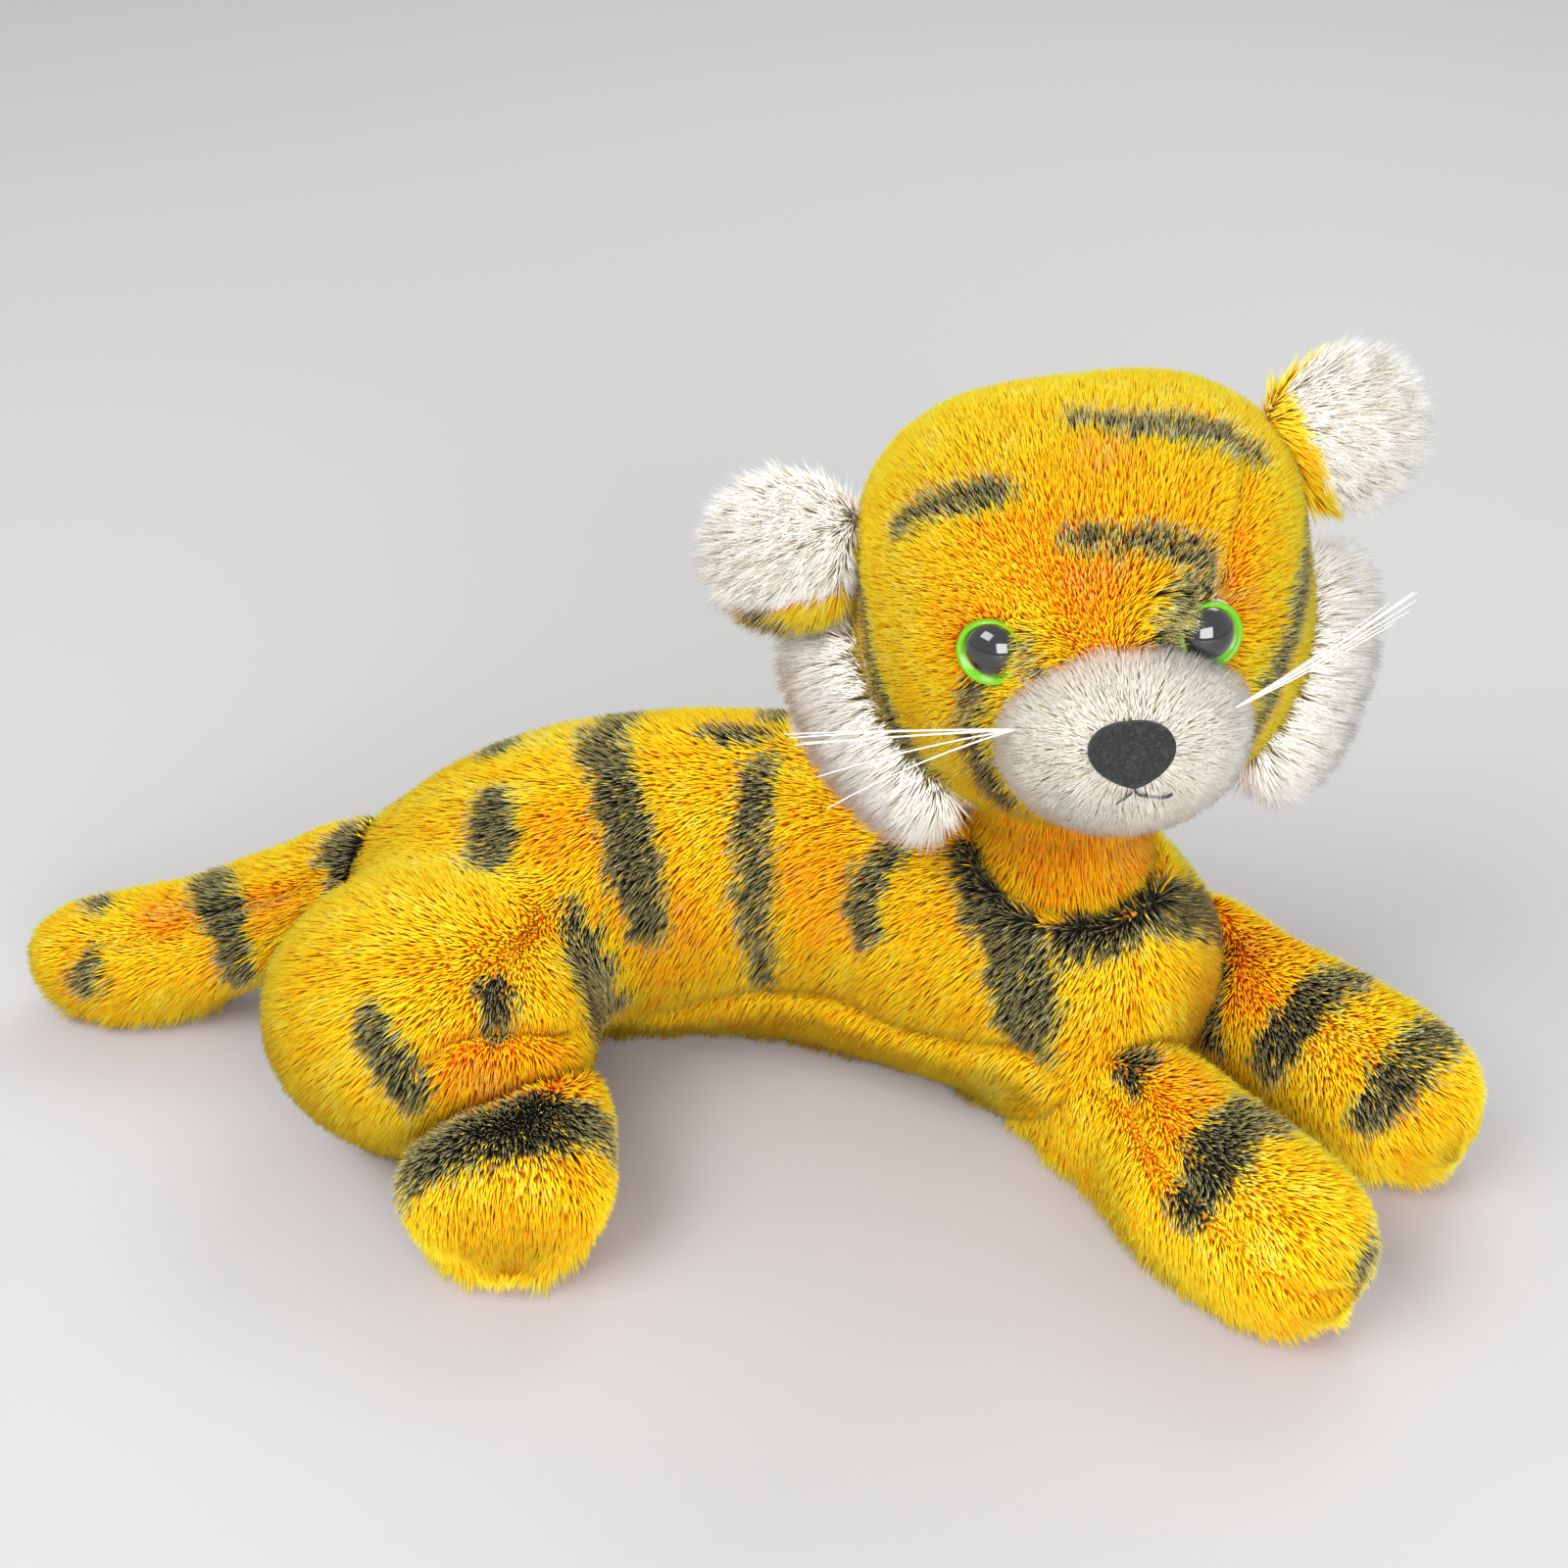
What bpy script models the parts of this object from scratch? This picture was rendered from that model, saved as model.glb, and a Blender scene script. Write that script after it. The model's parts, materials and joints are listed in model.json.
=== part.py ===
# A lying plush tiger: sewn plush skins over fibre stuffing, plastic button eyes, a felt nose and
# nylon whiskers. Metres, +Z up, +X towards the chest, +Y to the tiger's left. The origin is on the
# table, under the middle of the belly.
import math
from functools import partial

import bmesh
import bpy
from mathutils import Matrix, Vector

# Cloth, gaps and the table
SKIN = 0.0025  # plush backing with its flattened pile
GAP = 0.0003  # between two pieces that touch
MOVING_GAP = 0.0006  # between pieces that move on each other
PRESS = 0.0005  # how far a form is flattened by the table
OVERRUN = 0.004  # how far a cutter passes what it cuts

# Torso, along a curved spine
BODY_LENGTH = 0.200
BODY_WIDTH = 0.076
BODY_HEIGHT = 0.079
SPINE_shares = [
    (-0.475, -0.170),
    (-0.320, -0.112),
    (-0.165, -0.052),
    (0.000, 0.000),
    (0.180, 0.006),
    (0.350, -0.012),
    (0.500, -0.052),
]
BODY_WIDTH_shares = [0.84, 0.88, 0.87, 0.86, 0.93, 1.00, 0.98]
BODY_HEIGHT_shares = [0.78, 0.90, 0.98, 1.00, 0.98, 0.93, 0.88]
GUSSET_HEIGHT = 0.014  # height of the seam between the side panels and the belly panel

# Haunches, sewn to the torso. The left one lies flatter, behind the rump
THIGH_LENGTH = 0.076
THIGH_WIDTH = 0.070
THIGH_HEIGHT = 0.062
THIGH_OUT = 0.038
THIGH_BACK = 0.015
HIP_share = 0.19
LEFT_THIGH_SIZE_shares = (1.00, 0.76, 0.60)
LEFT_THIGH_OUT_share = 0.76
LEFT_THIGH_BACK = -0.004

# Hind feet, which point out from under the haunches
FOOT_LENGTH = 0.052
FOOT_WIDTH = 0.047
FOOT_HEIGHT = 0.038
FOOT_OUT = 0.097  # from the spine to the toes
FOOT_FORWARD = 0.003
FOOT_ROOT = 0.008
FOOT_WIDTH_shares = [0.80, 0.88, 0.96, 1.00, 1.00]
FOOT_HEIGHT_shares = [0.90, 0.98, 1.00, 0.98, 0.94]
FOOT_SWING = 12.0  # degrees each way
LEFT_FOOT_OUT_share = 0.80
LEFT_FOOT_HEIGHT_share = 0.84

# Front legs, side by side and turned towards the right
LEG_LENGTH = 0.094
LEG_WIDTH = 0.041
LEG_HEIGHT = 0.039
LEG_SPACING = 0.053  # between the middles of the two
LEG_HEADING = -31.0
LEG_WIDTH_shares = [0.92, 0.92, 0.90, 0.92, 0.97, 1.00, 1.00]
LEG_HEIGHT_shares = [1.08, 1.08, 1.10, 1.02, 0.97, 0.98, 1.00]
LEG_ROOT = 0.018
LEFT_LEG_BEND = -0.022  # the left root curves in towards the chest
LEG_STAGGER = -0.012  # how much further the left leg reaches
SHOULDER_share = 0.86
SHOULDER_SIDE = 0.011  # the pair of legs sits this far to the left of the spine
LEG_OUTWARD = 12.0  # degrees
LEG_INWARD = 4.0

# Tail
TAIL_LENGTH = 0.096
TAIL_THICK = 0.031
TAIL_HEADING = 203.5
TAIL_ROOT_HEIGHT = 0.046
TAIL_SIDE = 0.004
TAIL_ROOT = 0.022
TAIL_shares = [0.86, 0.92, 0.98, 1.00, 1.00, 0.98]
TAIL_LIFT = 25.0

# Neck, a stuffed plug between torso and head
NECK_share = 0.81
NECK_RADIUS = 0.0195
NECK_BALL = 0.024
NECK_BOTTOM = 0.054
NOD_HEIGHT = 0.092

# Head
HEAD_WIDTH = 0.092
HEAD_DEPTH = 0.090
HEAD_HEIGHT = 0.092
HEAD_SEAT = 0.012  # the nod axis lies this far above the head's lowest point
HEAD_YAW = -67.5
HEAD_PITCH = 13.0
HEAD_ROLL = 6.0
FACE_SEAM = 0.006  # the face panel starts this far in front of the head's middle

# Muzzle
MUZZLE_WIDTH = 0.048
MUZZLE_HEIGHT = 0.038
MUZZLE_DEPTH = 0.034
MUZZLE_SEAT = 0.005  # its middle lies this far behind the head's front
MUZZLE_DROP = 0.013

# Nose felt and mouth thread
NOSE_WIDTH = 0.0150
NOSE_HEIGHT = 0.0122
NOSE_CORNER = 0.0032
NOSE_THICK = 0.0014
NOSE_RISE = 0.0005  # above the muzzle's middle
THREAD = 0.0009
MOUTH_DROP_share = 0.62
MOUTH_WIDTH = 0.009

# Eyes: button, pupil dome and lock washer
EYE_RADIUS = 0.0074
EYE_THICK = 0.0022
PUPIL_RADIUS = 0.0046
PUPIL_DOME = 0.0030
PUPIL_SEAT = 0.0008
SHANK_RADIUS = 0.0014
SHANK_LENGTH = 0.0065
WASHER_RADIUS = 0.0055
WASHER_THICK = 0.0012
WASHER_PRESS = 0.0006  # how far the washer presses into the cloth
EYE_SPACING = 0.043
EYE_RISE = 0.0055
EYE_SHIFT = -0.0030  # both eyes sit this far to the left of the middle

# Ears: a white front and a yellow back
EAR_WIDTH = 0.035
EAR_HEIGHT = 0.036
EAR_THICK = 0.013
EAR_STAND = 0.014  # from the head's side out to the ear's middle
EAR_ANGLE = 23.0  # above the head's middle, seen from the front
EAR_UNEVEN = 5.5  # the left ear stands this much higher, the right ear lower
EAR_BACK = 0.003
EAR_FOLD = 15.0

# Cheek ruffs
RUFF_LENGTH = 0.056
RUFF_WIDTH = 0.026
RUFF_THICK = 0.022
RUFF_STAND = 0.0035  # from the head's side out to the ruff's middle
RUFF_ANGLE = -25.0
RUFF_BACK = 0.003
RUFF_LEAN = 22.0  # its lower end lies further forward

# Whiskers
WHISKER_THICK = 0.0005
WHISKER_LENGTH = 0.037
WHISKER_COUNT = 5
WHISKER_KNOT = 0.0022
WHISKER_SPREAD = 26.0
WHISKER_LIFT = 20.0
WHISKER_SIDE_share = 0.77
WHISKER_RISE_share = 0.42

# Facets
BODY_SIDES = 20
BODY_RINGS = 18
LIMB_SIDES = 14
LIMB_RINGS = 10
INNER_share = 0.7

GREEN = (0.10, 0.55, 0.03)
BLACK = (0.012, 0.011, 0.010)
YELLOW = (0.90, 0.58, 0.03)
ORANGE = (0.92, 0.45, 0.02)
WHITE = (0.86, 0.83, 0.78)
FIBRE = (0.90, 0.90, 0.88)


# Making and joining pieces
def clear_scene():
    for item in list(bpy.data.objects):
        bpy.data.objects.remove(item, do_unlink=True)


def material(name, colour, roughness):
    made = bpy.data.materials.new(name)
    made.use_nodes = True
    surface = made.node_tree.nodes["Principled BSDF"]
    surface.inputs["Base Color"].default_value = (*colour, 1.0)
    surface.inputs["Roughness"].default_value = roughness
    surface.inputs["Metallic"].default_value = 0.0
    return made


def finish(bm, name, look=None, parent=None):
    bmesh.ops.recalc_face_normals(bm, faces=bm.faces[:])
    mesh = bpy.data.meshes.new(name)
    bm.to_mesh(mesh)
    bm.free()
    mesh.shade_smooth()
    mesh.set_sharp_from_angle(angle=math.radians(40))
    item = bpy.data.objects.new(name, mesh)
    bpy.context.scene.collection.objects.link(item)
    if look:
        mesh.materials.append(look)
    else:
        item.hide_render = True
        item.display_type = "WIRE"
    item.parent = parent
    return item


def empty(name, place, parent=None):
    made = bpy.data.objects.new(name, None)
    bpy.context.scene.collection.objects.link(made)
    made.parent = parent
    made.matrix_local = place
    return made


def cut(item, *cutters):
    for cutter in cutters:
        step = item.modifiers.new("cut_" + cutter.name, "BOOLEAN")
        step.operation = "DIFFERENCE"
        step.solver = "EXACT"
        step.object = cutter


def turned(angle, axis, centre):
    move = Matrix.Translation(centre)
    return move @ Matrix.Rotation(math.radians(angle), 4, axis) @ move.inverted()


# Curves and tables
def curve_value(values, share):
    """A smooth curve through evenly spaced values, read at a share of its length."""
    last = len(values) - 1
    place = min(max(share, 0.0), 1.0) * last
    first = min(int(place), last - 1)
    t = place - first
    before, after = values[max(first - 1, 0)], values[min(first + 2, last)]
    here, there = values[first], values[first + 1]
    slope, next_slope = (there - before) / 2, (after - here) / 2
    rise = there - here
    square = 3 * rise - 2 * slope - next_slope
    return here + t * slope + t**2 * square + t**3 * (slope + next_slope - 2 * rise)


def spine_point(share):
    x, y = (curve_value(values, share) for values in zip(*SPINE_shares))
    return Vector((x * BODY_LENGTH, y * BODY_LENGTH, 0))


def spine_frame(share):
    """Place on the table under the spine, with X along the spine and Y to its left."""
    step = 0.01
    ahead = spine_point(min(share + step, 1)) - spine_point(max(share - step, 0))
    heading = math.atan2(ahead.y, ahead.x)
    return Matrix.Translation(spine_point(share)) @ Matrix.Rotation(heading, 4, "Z")


# Forms
def loft(bm, stations, sides):
    """Closed form through rings. A station is a matrix with a half width and a half height."""
    rings = []
    for place, wide, high in stations[1:-1]:
        ring = []
        for k in range(sides):
            angle = 2 * math.pi * k / sides
            ring.append(bm.verts.new(place @ Vector((0, wide * math.cos(angle), high * math.sin(angle)))))
        rings.append(ring)
    for ring, other in zip(rings, rings[1:]):
        for k in range(sides):
            n = (k + 1) % sides
            bm.faces.new((ring[k], ring[n], other[n]))
            bm.faces.new((ring[k], other[n], other[k]))
    for ring, station in ((rings[0], stations[0]), (rings[-1], stations[-1])):
        pole = bm.verts.new(station[0].translation)
        for k in range(sides):
            bm.faces.new((ring[k], ring[(k + 1) % sides], pole))
    return bm


def stretched(share, sharpness):
    """Rounding of a form's ends: 1 along the middle, 0 at both ends."""
    return math.sqrt(max(1 - abs(2 * share - 1) ** sharpness, 0))


def flatten(bm):
    """Cuts a form flat where it lies on the table."""
    parts = bm.verts[:] + bm.edges[:] + bm.faces[:]
    made = bmesh.ops.bisect_plane(bm, geom=parts, plane_co=(0, 0, 0), plane_no=(0, 0, -1), clear_outer=True)
    rim = [part for part in made["geom_cut"] if isinstance(part, bmesh.types.BMEdge)]
    if rim:
        bmesh.ops.contextual_create(bm, geom=rim)


def facets(count, grow):
    return count if grow >= 0 else max(8, int(count * INNER_share))


def torso_form(grow, flat=False):
    sides, count = facets(BODY_SIDES, grow), facets(BODY_RINGS, grow)
    stations = []
    for k in range(count + 1):
        share = (1 - math.cos(math.pi * k / count)) / 2
        round_off = stretched(share, 5)
        wide = BODY_WIDTH / 2 * curve_value(BODY_WIDTH_shares, share)
        high = BODY_HEIGHT / 2 * curve_value(BODY_HEIGHT_shares, share)
        lift = Matrix.Translation((0, 0, high - PRESS))
        place = spine_frame(share) @ lift @ Matrix.Translation((grow * (2 * share - 1), 0, 0))
        stations.append((place, wide * round_off + grow, high * round_off + grow))
    bm = loft(bmesh.new(), stations, sides)
    if flat:
        flatten(bm)
    return bm


def limb_form(root, length, width, height, wide_shares, high_shares, lifts, bend, grow, flat=False):
    """Stuffed tube along +X. Its joint is at x = 0, and its root starts behind that, bent aside."""
    sides, count = facets(LIMB_SIDES, grow), facets(LIMB_RINGS, grow)
    stations = []
    for k in range(count + 1):
        share = (1 - math.cos(math.pi * k / count)) / 2
        round_off = stretched(share, 6)
        wide = width / 2 * curve_value(wide_shares, share)
        high = height / 2 * curve_value(high_shares, share)
        x = share * (root + length) - root + grow * (2 * share - 1)
        place = Matrix.Translation((x, bend * (1 - share) ** 3, lifts(share, high)))
        stations.append((place, wide * round_off + grow, high * round_off + grow))
    bm = loft(bmesh.new(), stations, sides)
    if flat:
        flatten(bm)
    return bm


def ball(place, size, grow, sides, flat=False):
    """Ellipsoid of the given size in all, at a place that may be turned."""
    bm = bmesh.new()
    count = facets(sides, grow)
    bmesh.ops.create_uvsphere(bm, u_segments=count, v_segments=max(6, count * 2 // 3), radius=1)
    radii = [length / 2 + grow for length in size]
    bmesh.ops.transform(bm, matrix=place @ Matrix.Diagonal((*radii, 1)), verts=bm.verts[:])
    if flat:
        flatten(bm)
    return bm


def block(low, high):
    """Box between two corners."""
    bm = bmesh.new()
    bmesh.ops.create_cube(bm, size=1)
    size = [b - a for a, b in zip(low, high)]
    middle = [(a + b) / 2 for a, b in zip(low, high)]
    place = Matrix.Translation(middle) @ Matrix.Diagonal((*size, 1))
    bmesh.ops.transform(bm, matrix=place, verts=bm.verts[:])
    return bm


def lathe(profile, steps):
    """Solid turned about Z from (radius, height) points. Ends at radius 0 close it."""
    bm = bmesh.new()
    verts = [bm.verts.new((radius, 0, height)) for radius, height in profile]
    edges = [bm.edges.new(pair) for pair in zip(verts, verts[1:])]
    bmesh.ops.spin(bm, geom=verts + edges, axis=(0, 0, 1), cent=(0, 0, 0), steps=steps, angle=2 * math.pi)
    bmesh.ops.remove_doubles(bm, verts=bm.verts[:], dist=GAP / 10)
    return bm


def rod(radius, low, high, sides=20):
    return lathe([(0, low), (radius, low), (radius, high), (0, high)], sides)


# Torso
def side_of_spine(name, side, gap):
    """Cutter that holds everything on one side of the spine's upright surface."""
    bm = bmesh.new()
    count = BODY_RINGS // 2
    reach = BODY_WIDTH
    line, far = [], []
    for k in range(-1, count + 2):
        share = k / count
        place = spine_frame(min(max(share, 0), 1)) @ Matrix.Translation((0, side * gap, 0))
        ahead = BODY_WIDTH / 2 * (0 if 0 <= k <= count else -1 if k < 0 else 1)
        line.append(place @ Vector((ahead, 0, -OVERRUN)))
        far.append(Vector((line[-1].x, side * reach, -OVERRUN)))
    verts = [bm.verts.new(point) for point in line + far[::-1]]
    face = bm.faces.new(verts)
    made = bmesh.ops.extrude_face_region(bm, geom=[face])
    top = [part for part in made["geom"] if isinstance(part, bmesh.types.BMVert)]
    bmesh.ops.translate(bm, verts=top, vec=(0, 0, BODY_HEIGHT + 2 * OVERRUN))
    return finish(bm, name)


def make_torso(looks, neck_hole):
    hollow = finish(torso_form(-SKIN), "torso_hollow")
    reach = BODY_LENGTH
    below = block((-reach, -reach, -OVERRUN), (reach, reach, GUSSET_HEIGHT + GAP / 2))
    above = block((-reach, -reach, GUSSET_HEIGHT - GAP / 2), (reach, reach, 2 * BODY_HEIGHT))
    low, high = finish(below, "below_seam"), finish(above, "above_seam")
    left_side = side_of_spine("left_of_spine", 1, -GAP / 2)
    right_side = side_of_spine("right_of_spine", -1, -GAP / 2)
    right = finish(torso_form(0, flat=True), "side_panel_right", looks["yellow"])
    cut(right, hollow, low, left_side, neck_hole)
    left = finish(torso_form(0, flat=True), "side_panel_left", looks["yellow"])
    cut(left, hollow, low, right_side, neck_hole)
    gusset = finish(torso_form(0, flat=True), "belly_gusset", looks["orange"])
    cut(gusset, hollow, high)
    filling = finish(torso_form(-SKIN - GAP), "torso_stuffing", looks["fibre"])
    cut(filling, neck_hole)
    return finish(torso_form(GAP), "torso_outside")


# Limbs: each skin is a tube that is open at its root, where the larger form cuts it
def thigh_form(side, grow, flat=False):
    size = Vector((THIGH_LENGTH, THIGH_WIDTH, THIGH_HEIGHT))
    out, back = THIGH_OUT, THIGH_BACK
    if side > 0:
        size *= Vector(LEFT_THIGH_SIZE_shares)
        out, back = THIGH_OUT * LEFT_THIGH_OUT_share, LEFT_THIGH_BACK
    spot = Matrix.Translation((-back, side * out, size.z / 2 - PRESS))
    return ball(spine_frame(HIP_share) @ spot, size, grow, BODY_SIDES, flat)


def make_thigh(label, side, looks, torso):
    hollow = finish(thigh_form(side, -SKIN), f"haunch_{label}_hollow")
    skin = finish(thigh_form(side, 0, flat=True), f"haunch_{label}_skin", looks["yellow"])
    cut(skin, hollow, torso)
    filling = finish(thigh_form(side, -SKIN - GAP), f"haunch_{label}_stuffing", looks["fibre"])
    cut(filling, torso)


def turned_cutters(name, shape, angles, axis, centre, parent=None):
    """The same larger form as a limb meets it at several angles of its joint."""
    made = []
    for k, angle in enumerate(angles):
        cutter = finish(shape(), f"{name}_{k}", None, parent)
        cutter.data.transform(turned(angle, axis, centre))
        made.append(cutter)
    return made


def lying(share, high):
    return high - PRESS


def foot_place(side):
    out = FOOT_OUT * (LEFT_FOOT_OUT_share if side > 0 else 1) - FOOT_LENGTH
    place = spine_frame(HIP_share) @ Matrix.Translation((FOOT_FORWARD, side * out, 0))
    return place @ Matrix.Rotation(side * math.pi / 2, 4, "Z")


def make_foot(label, side, looks):
    place = foot_place(side)
    angles = (-FOOT_SWING, 0, FOOT_SWING)
    joint = empty(f"hind_foot_{label}_joint", place)
    height = FOOT_HEIGHT * (LEFT_FOOT_HEIGHT_share if side > 0 else 1)
    size = (FOOT_ROOT, FOOT_LENGTH, FOOT_WIDTH, height, FOOT_WIDTH_shares, FOOT_HEIGHT_shares, lying, 0)
    centre = place.translation
    thigh, trunk = partial(thigh_form, side, MOVING_GAP), partial(torso_form, MOVING_GAP)
    thighs = turned_cutters(f"haunch_{label}_meets_foot", thigh, angles, "Z", centre)
    torsos = turned_cutters(f"torso_meets_foot_{label}", trunk, angles, "Z", centre)
    skin = finish(limb_form(*size, 0, flat=True), f"hind_foot_{label}_skin", looks["yellow"], joint)
    hollow = finish(limb_form(*size, -SKIN), f"hind_foot_{label}_hollow", None, joint)
    cut(skin, hollow, *thighs, *torsos)
    filling = finish(limb_form(*size, -SKIN - GAP), f"hind_foot_{label}_stuffing", looks["fibre"], joint)
    cut(filling, *thighs, *torsos)


def leg_place(side):
    root = spine_frame(SHOULDER_share) @ Vector((0, SHOULDER_SIDE, 0))
    heading = Matrix.Rotation(math.radians(LEG_HEADING), 4, "Z")
    reach = LEG_STAGGER if side > 0 else 0
    return Matrix.Translation(root) @ heading @ Matrix.Translation((reach, side * LEG_SPACING / 2, 0))


def make_leg(label, side, looks):
    place = leg_place(side)
    angles = [side * angle for angle in (-LEG_OUTWARD, (LEG_INWARD - LEG_OUTWARD) / 2, LEG_INWARD)]
    joint = empty(f"front_leg_{label}_joint", place)
    bend = LEFT_LEG_BEND if side > 0 else 0
    size = (LEG_ROOT, LEG_LENGTH, LEG_WIDTH, LEG_HEIGHT, LEG_WIDTH_shares, LEG_HEIGHT_shares, lying, bend)
    trunk = partial(torso_form, MOVING_GAP)
    torsos = turned_cutters(f"torso_meets_leg_{label}", trunk, angles, "Z", place.translation)
    skin = finish(limb_form(*size, 0, flat=True), f"front_leg_{label}_skin", looks["yellow"], joint)
    hollow = finish(limb_form(*size, -SKIN), f"front_leg_{label}_hollow", None, joint)
    cut(skin, hollow, *torsos)
    filling = finish(limb_form(*size, -SKIN - GAP), f"front_leg_{label}_stuffing", looks["fibre"], joint)
    cut(filling, *torsos)


def tail_place():
    root = spine_frame(0) @ Vector((TAIL_THICK / 2, TAIL_SIDE, 0))
    return Matrix.Translation(root) @ Matrix.Rotation(math.radians(TAIL_HEADING), 4, "Z")


def drooping(share, high):
    resting = TAIL_THICK / 2 - PRESS
    ease = 1 - min(share / 0.8, 1)
    return resting + (TAIL_ROOT_HEIGHT - resting) * ease * ease * (3 - 2 * ease)


def make_tail(looks):
    place = tail_place()
    angles = (0, TAIL_LIFT / 2, TAIL_LIFT)
    axis = place.to_3x3() @ Vector((0, 1, 0))
    centre = place @ Vector((0, 0, TAIL_ROOT_HEIGHT))
    joint = empty("tail_joint", place)
    size = (TAIL_ROOT, TAIL_LENGTH, TAIL_THICK, TAIL_THICK, TAIL_shares, TAIL_shares, drooping, 0)
    cutters = turned_cutters("torso_meets_tail", partial(torso_form, MOVING_GAP), angles, axis, centre)
    for label, side in (("left", 1), ("right", -1)):
        haunch = partial(thigh_form, side, MOVING_GAP)
        cutters += turned_cutters(f"haunch_{label}_meets_tail", haunch, angles, axis, centre)
    skin = finish(limb_form(*size, 0, flat=True), "tail_skin", looks["yellow"], joint)
    hollow = finish(limb_form(*size, -SKIN), "tail_hollow", None, joint)
    cut(skin, hollow, *cutters)
    filling = finish(limb_form(*size, -SKIN - GAP), "tail_stuffing", looks["fibre"], joint)
    cut(filling, *cutters)


# Neck
def neck_axis():
    return spine_frame(NECK_share).translation


def neck_profile(shrink):
    """Plug with a ball on top, on which the head nods. The ball's middle is the nod axis."""
    radius, ball_radius = NECK_RADIUS - shrink, NECK_BALL - shrink
    points = [(0, NECK_BOTTOM + shrink), (radius, NECK_BOTTOM + shrink)]
    meet = math.acos(radius / ball_radius)
    for k in range(9):
        angle = -meet + (math.pi / 2 + meet) * k / 8
        points.append((ball_radius * math.cos(angle), NOD_HEIGHT + ball_radius * math.sin(angle)))
    points[-1] = (0, NOD_HEIGHT + ball_radius)
    return points


def make_neck(looks):
    joint = empty("neck_turn_joint", Matrix.Translation(neck_axis()))
    hollow = finish(lathe(neck_profile(SKIN), 20), "neck_hollow", None, joint)
    ends = finish(rod(NECK_RADIUS - SKIN, 0, 2 * NOD_HEIGHT), "neck_openings", None, joint)
    skin = finish(lathe(neck_profile(0), 20), "neck_skin", looks["orange"], joint)
    cut(skin, hollow, ends)
    finish(lathe(neck_profile(SKIN + GAP), 20), "neck_stuffing", looks["fibre"], joint)


def neck_hole():
    radius, low = NECK_RADIUS + MOVING_GAP, NECK_BOTTOM - MOVING_GAP
    item = finish(rod(radius, low, NOD_HEIGHT, 28), "neck_hole")
    item.location = neck_axis()
    return item


# Head, modelled with +X ahead, +Y to its left and its middle at the origin
def head_place():
    axis = neck_axis()
    middle = Matrix.Translation((axis.x, axis.y, NOD_HEIGHT - HEAD_SEAT + HEAD_HEIGHT / 2))
    yaw = Matrix.Rotation(math.radians(HEAD_YAW), 4, "Z")
    pitch = Matrix.Rotation(math.radians(-HEAD_PITCH), 4, "Y")
    return middle @ yaw @ pitch @ Matrix.Rotation(math.radians(HEAD_ROLL), 4, "X")


def head_form(grow):
    return ball(Matrix.Identity(4), (HEAD_DEPTH, HEAD_WIDTH, HEAD_HEIGHT), grow, BODY_SIDES)


def on_head(y, z):
    """Point on the front of the head, and the way it faces."""
    a, b, c = HEAD_DEPTH / 2, HEAD_WIDTH / 2, HEAD_HEIGHT / 2
    x = a * math.sqrt(1 - (y / b) ** 2 - (z / c) ** 2)
    return Vector((x, y, z)), Vector((x / a**2, y / b**2, z / c**2)).normalized()


def eye_place(side):
    point, normal = on_head(EYE_SHIFT + side * EYE_SPACING / 2, EYE_RISE)
    turn = normal.to_track_quat("Z", "Y").to_matrix().to_4x4()
    return Matrix.Translation(point) @ turn


def make_eye(label, side, looks, head):
    """Button whose Z points out of the face, its back on the face panel."""
    spot = empty(f"eye_{label}_spot", eye_place(side), head)
    rim = EYE_THICK / 2
    seat = PUPIL_RADIUS + GAP
    profile = [(0, -SHANK_LENGTH), (SHANK_RADIUS, -SHANK_LENGTH), (SHANK_RADIUS, GAP), (EYE_RADIUS, GAP)]
    profile += [(EYE_RADIUS, GAP + rim), (seat, GAP + EYE_THICK), (seat, GAP + EYE_THICK - PUPIL_SEAT)]
    profile += [(0, GAP + EYE_THICK - PUPIL_SEAT)]
    finish(lathe(profile, 24), f"eye_{label}_button", looks["green"], spot)
    base = 2 * GAP + EYE_THICK - PUPIL_SEAT
    dome = [(0, base), (PUPIL_RADIUS, base)]
    for k in range(6):
        angle = math.pi / 2 * k / 5
        dome.append((PUPIL_RADIUS * math.cos(angle), base + PUPIL_SEAT + PUPIL_DOME * math.sin(angle)))
    dome[-1] = (0, base + PUPIL_SEAT + PUPIL_DOME)
    finish(lathe(dome, 20), f"eye_{label}_pupil", looks["black"], spot)
    hole = SHANK_RADIUS + GAP
    roof = WASHER_PRESS - SKIN
    top, low = roof - GAP, roof - GAP - WASHER_THICK
    ring = [(hole, top), (WASHER_RADIUS, top), (WASHER_RADIUS, low), (hole, low), (hole, top)]
    finish(lathe(ring, 16), f"eye_{label}_washer", looks["white"], spot)
    floor, wide = -SHANK_LENGTH - GAP, WASHER_RADIUS + GAP
    steps = [(0, floor), (wide, floor), (wide, roof), (hole, roof), (hole, OVERRUN), (0, OVERRUN)]
    pocket = finish(lathe(steps, 20), f"eye_{label}_pocket", None, spot)
    room = finish(rod(EYE_RADIUS + GAP, 0, EYE_RADIUS), f"eye_{label}_room", None, spot)
    return pocket, room


def muzzle_middle():
    return HEAD_DEPTH / 2 - MUZZLE_SEAT


def muzzle_form(grow):
    place = Matrix.Translation((muzzle_middle(), 0, -MUZZLE_DROP))
    return ball(place, (MUZZLE_DEPTH, MUZZLE_WIDTH, MUZZLE_HEIGHT), grow, LIMB_SIDES + 4)


def on_muzzle(y, z, lift):
    """Point over the muzzle's front, y to the left and z up from its middle."""
    a, b, c = MUZZLE_DEPTH / 2 + lift, MUZZLE_WIDTH / 2 + lift, MUZZLE_HEIGHT / 2 + lift
    x = a * math.sqrt(max(1 - (y / b) ** 2 - (z / c) ** 2, 0))
    return Vector((muzzle_middle() + x, y, z - MUZZLE_DROP))


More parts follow.
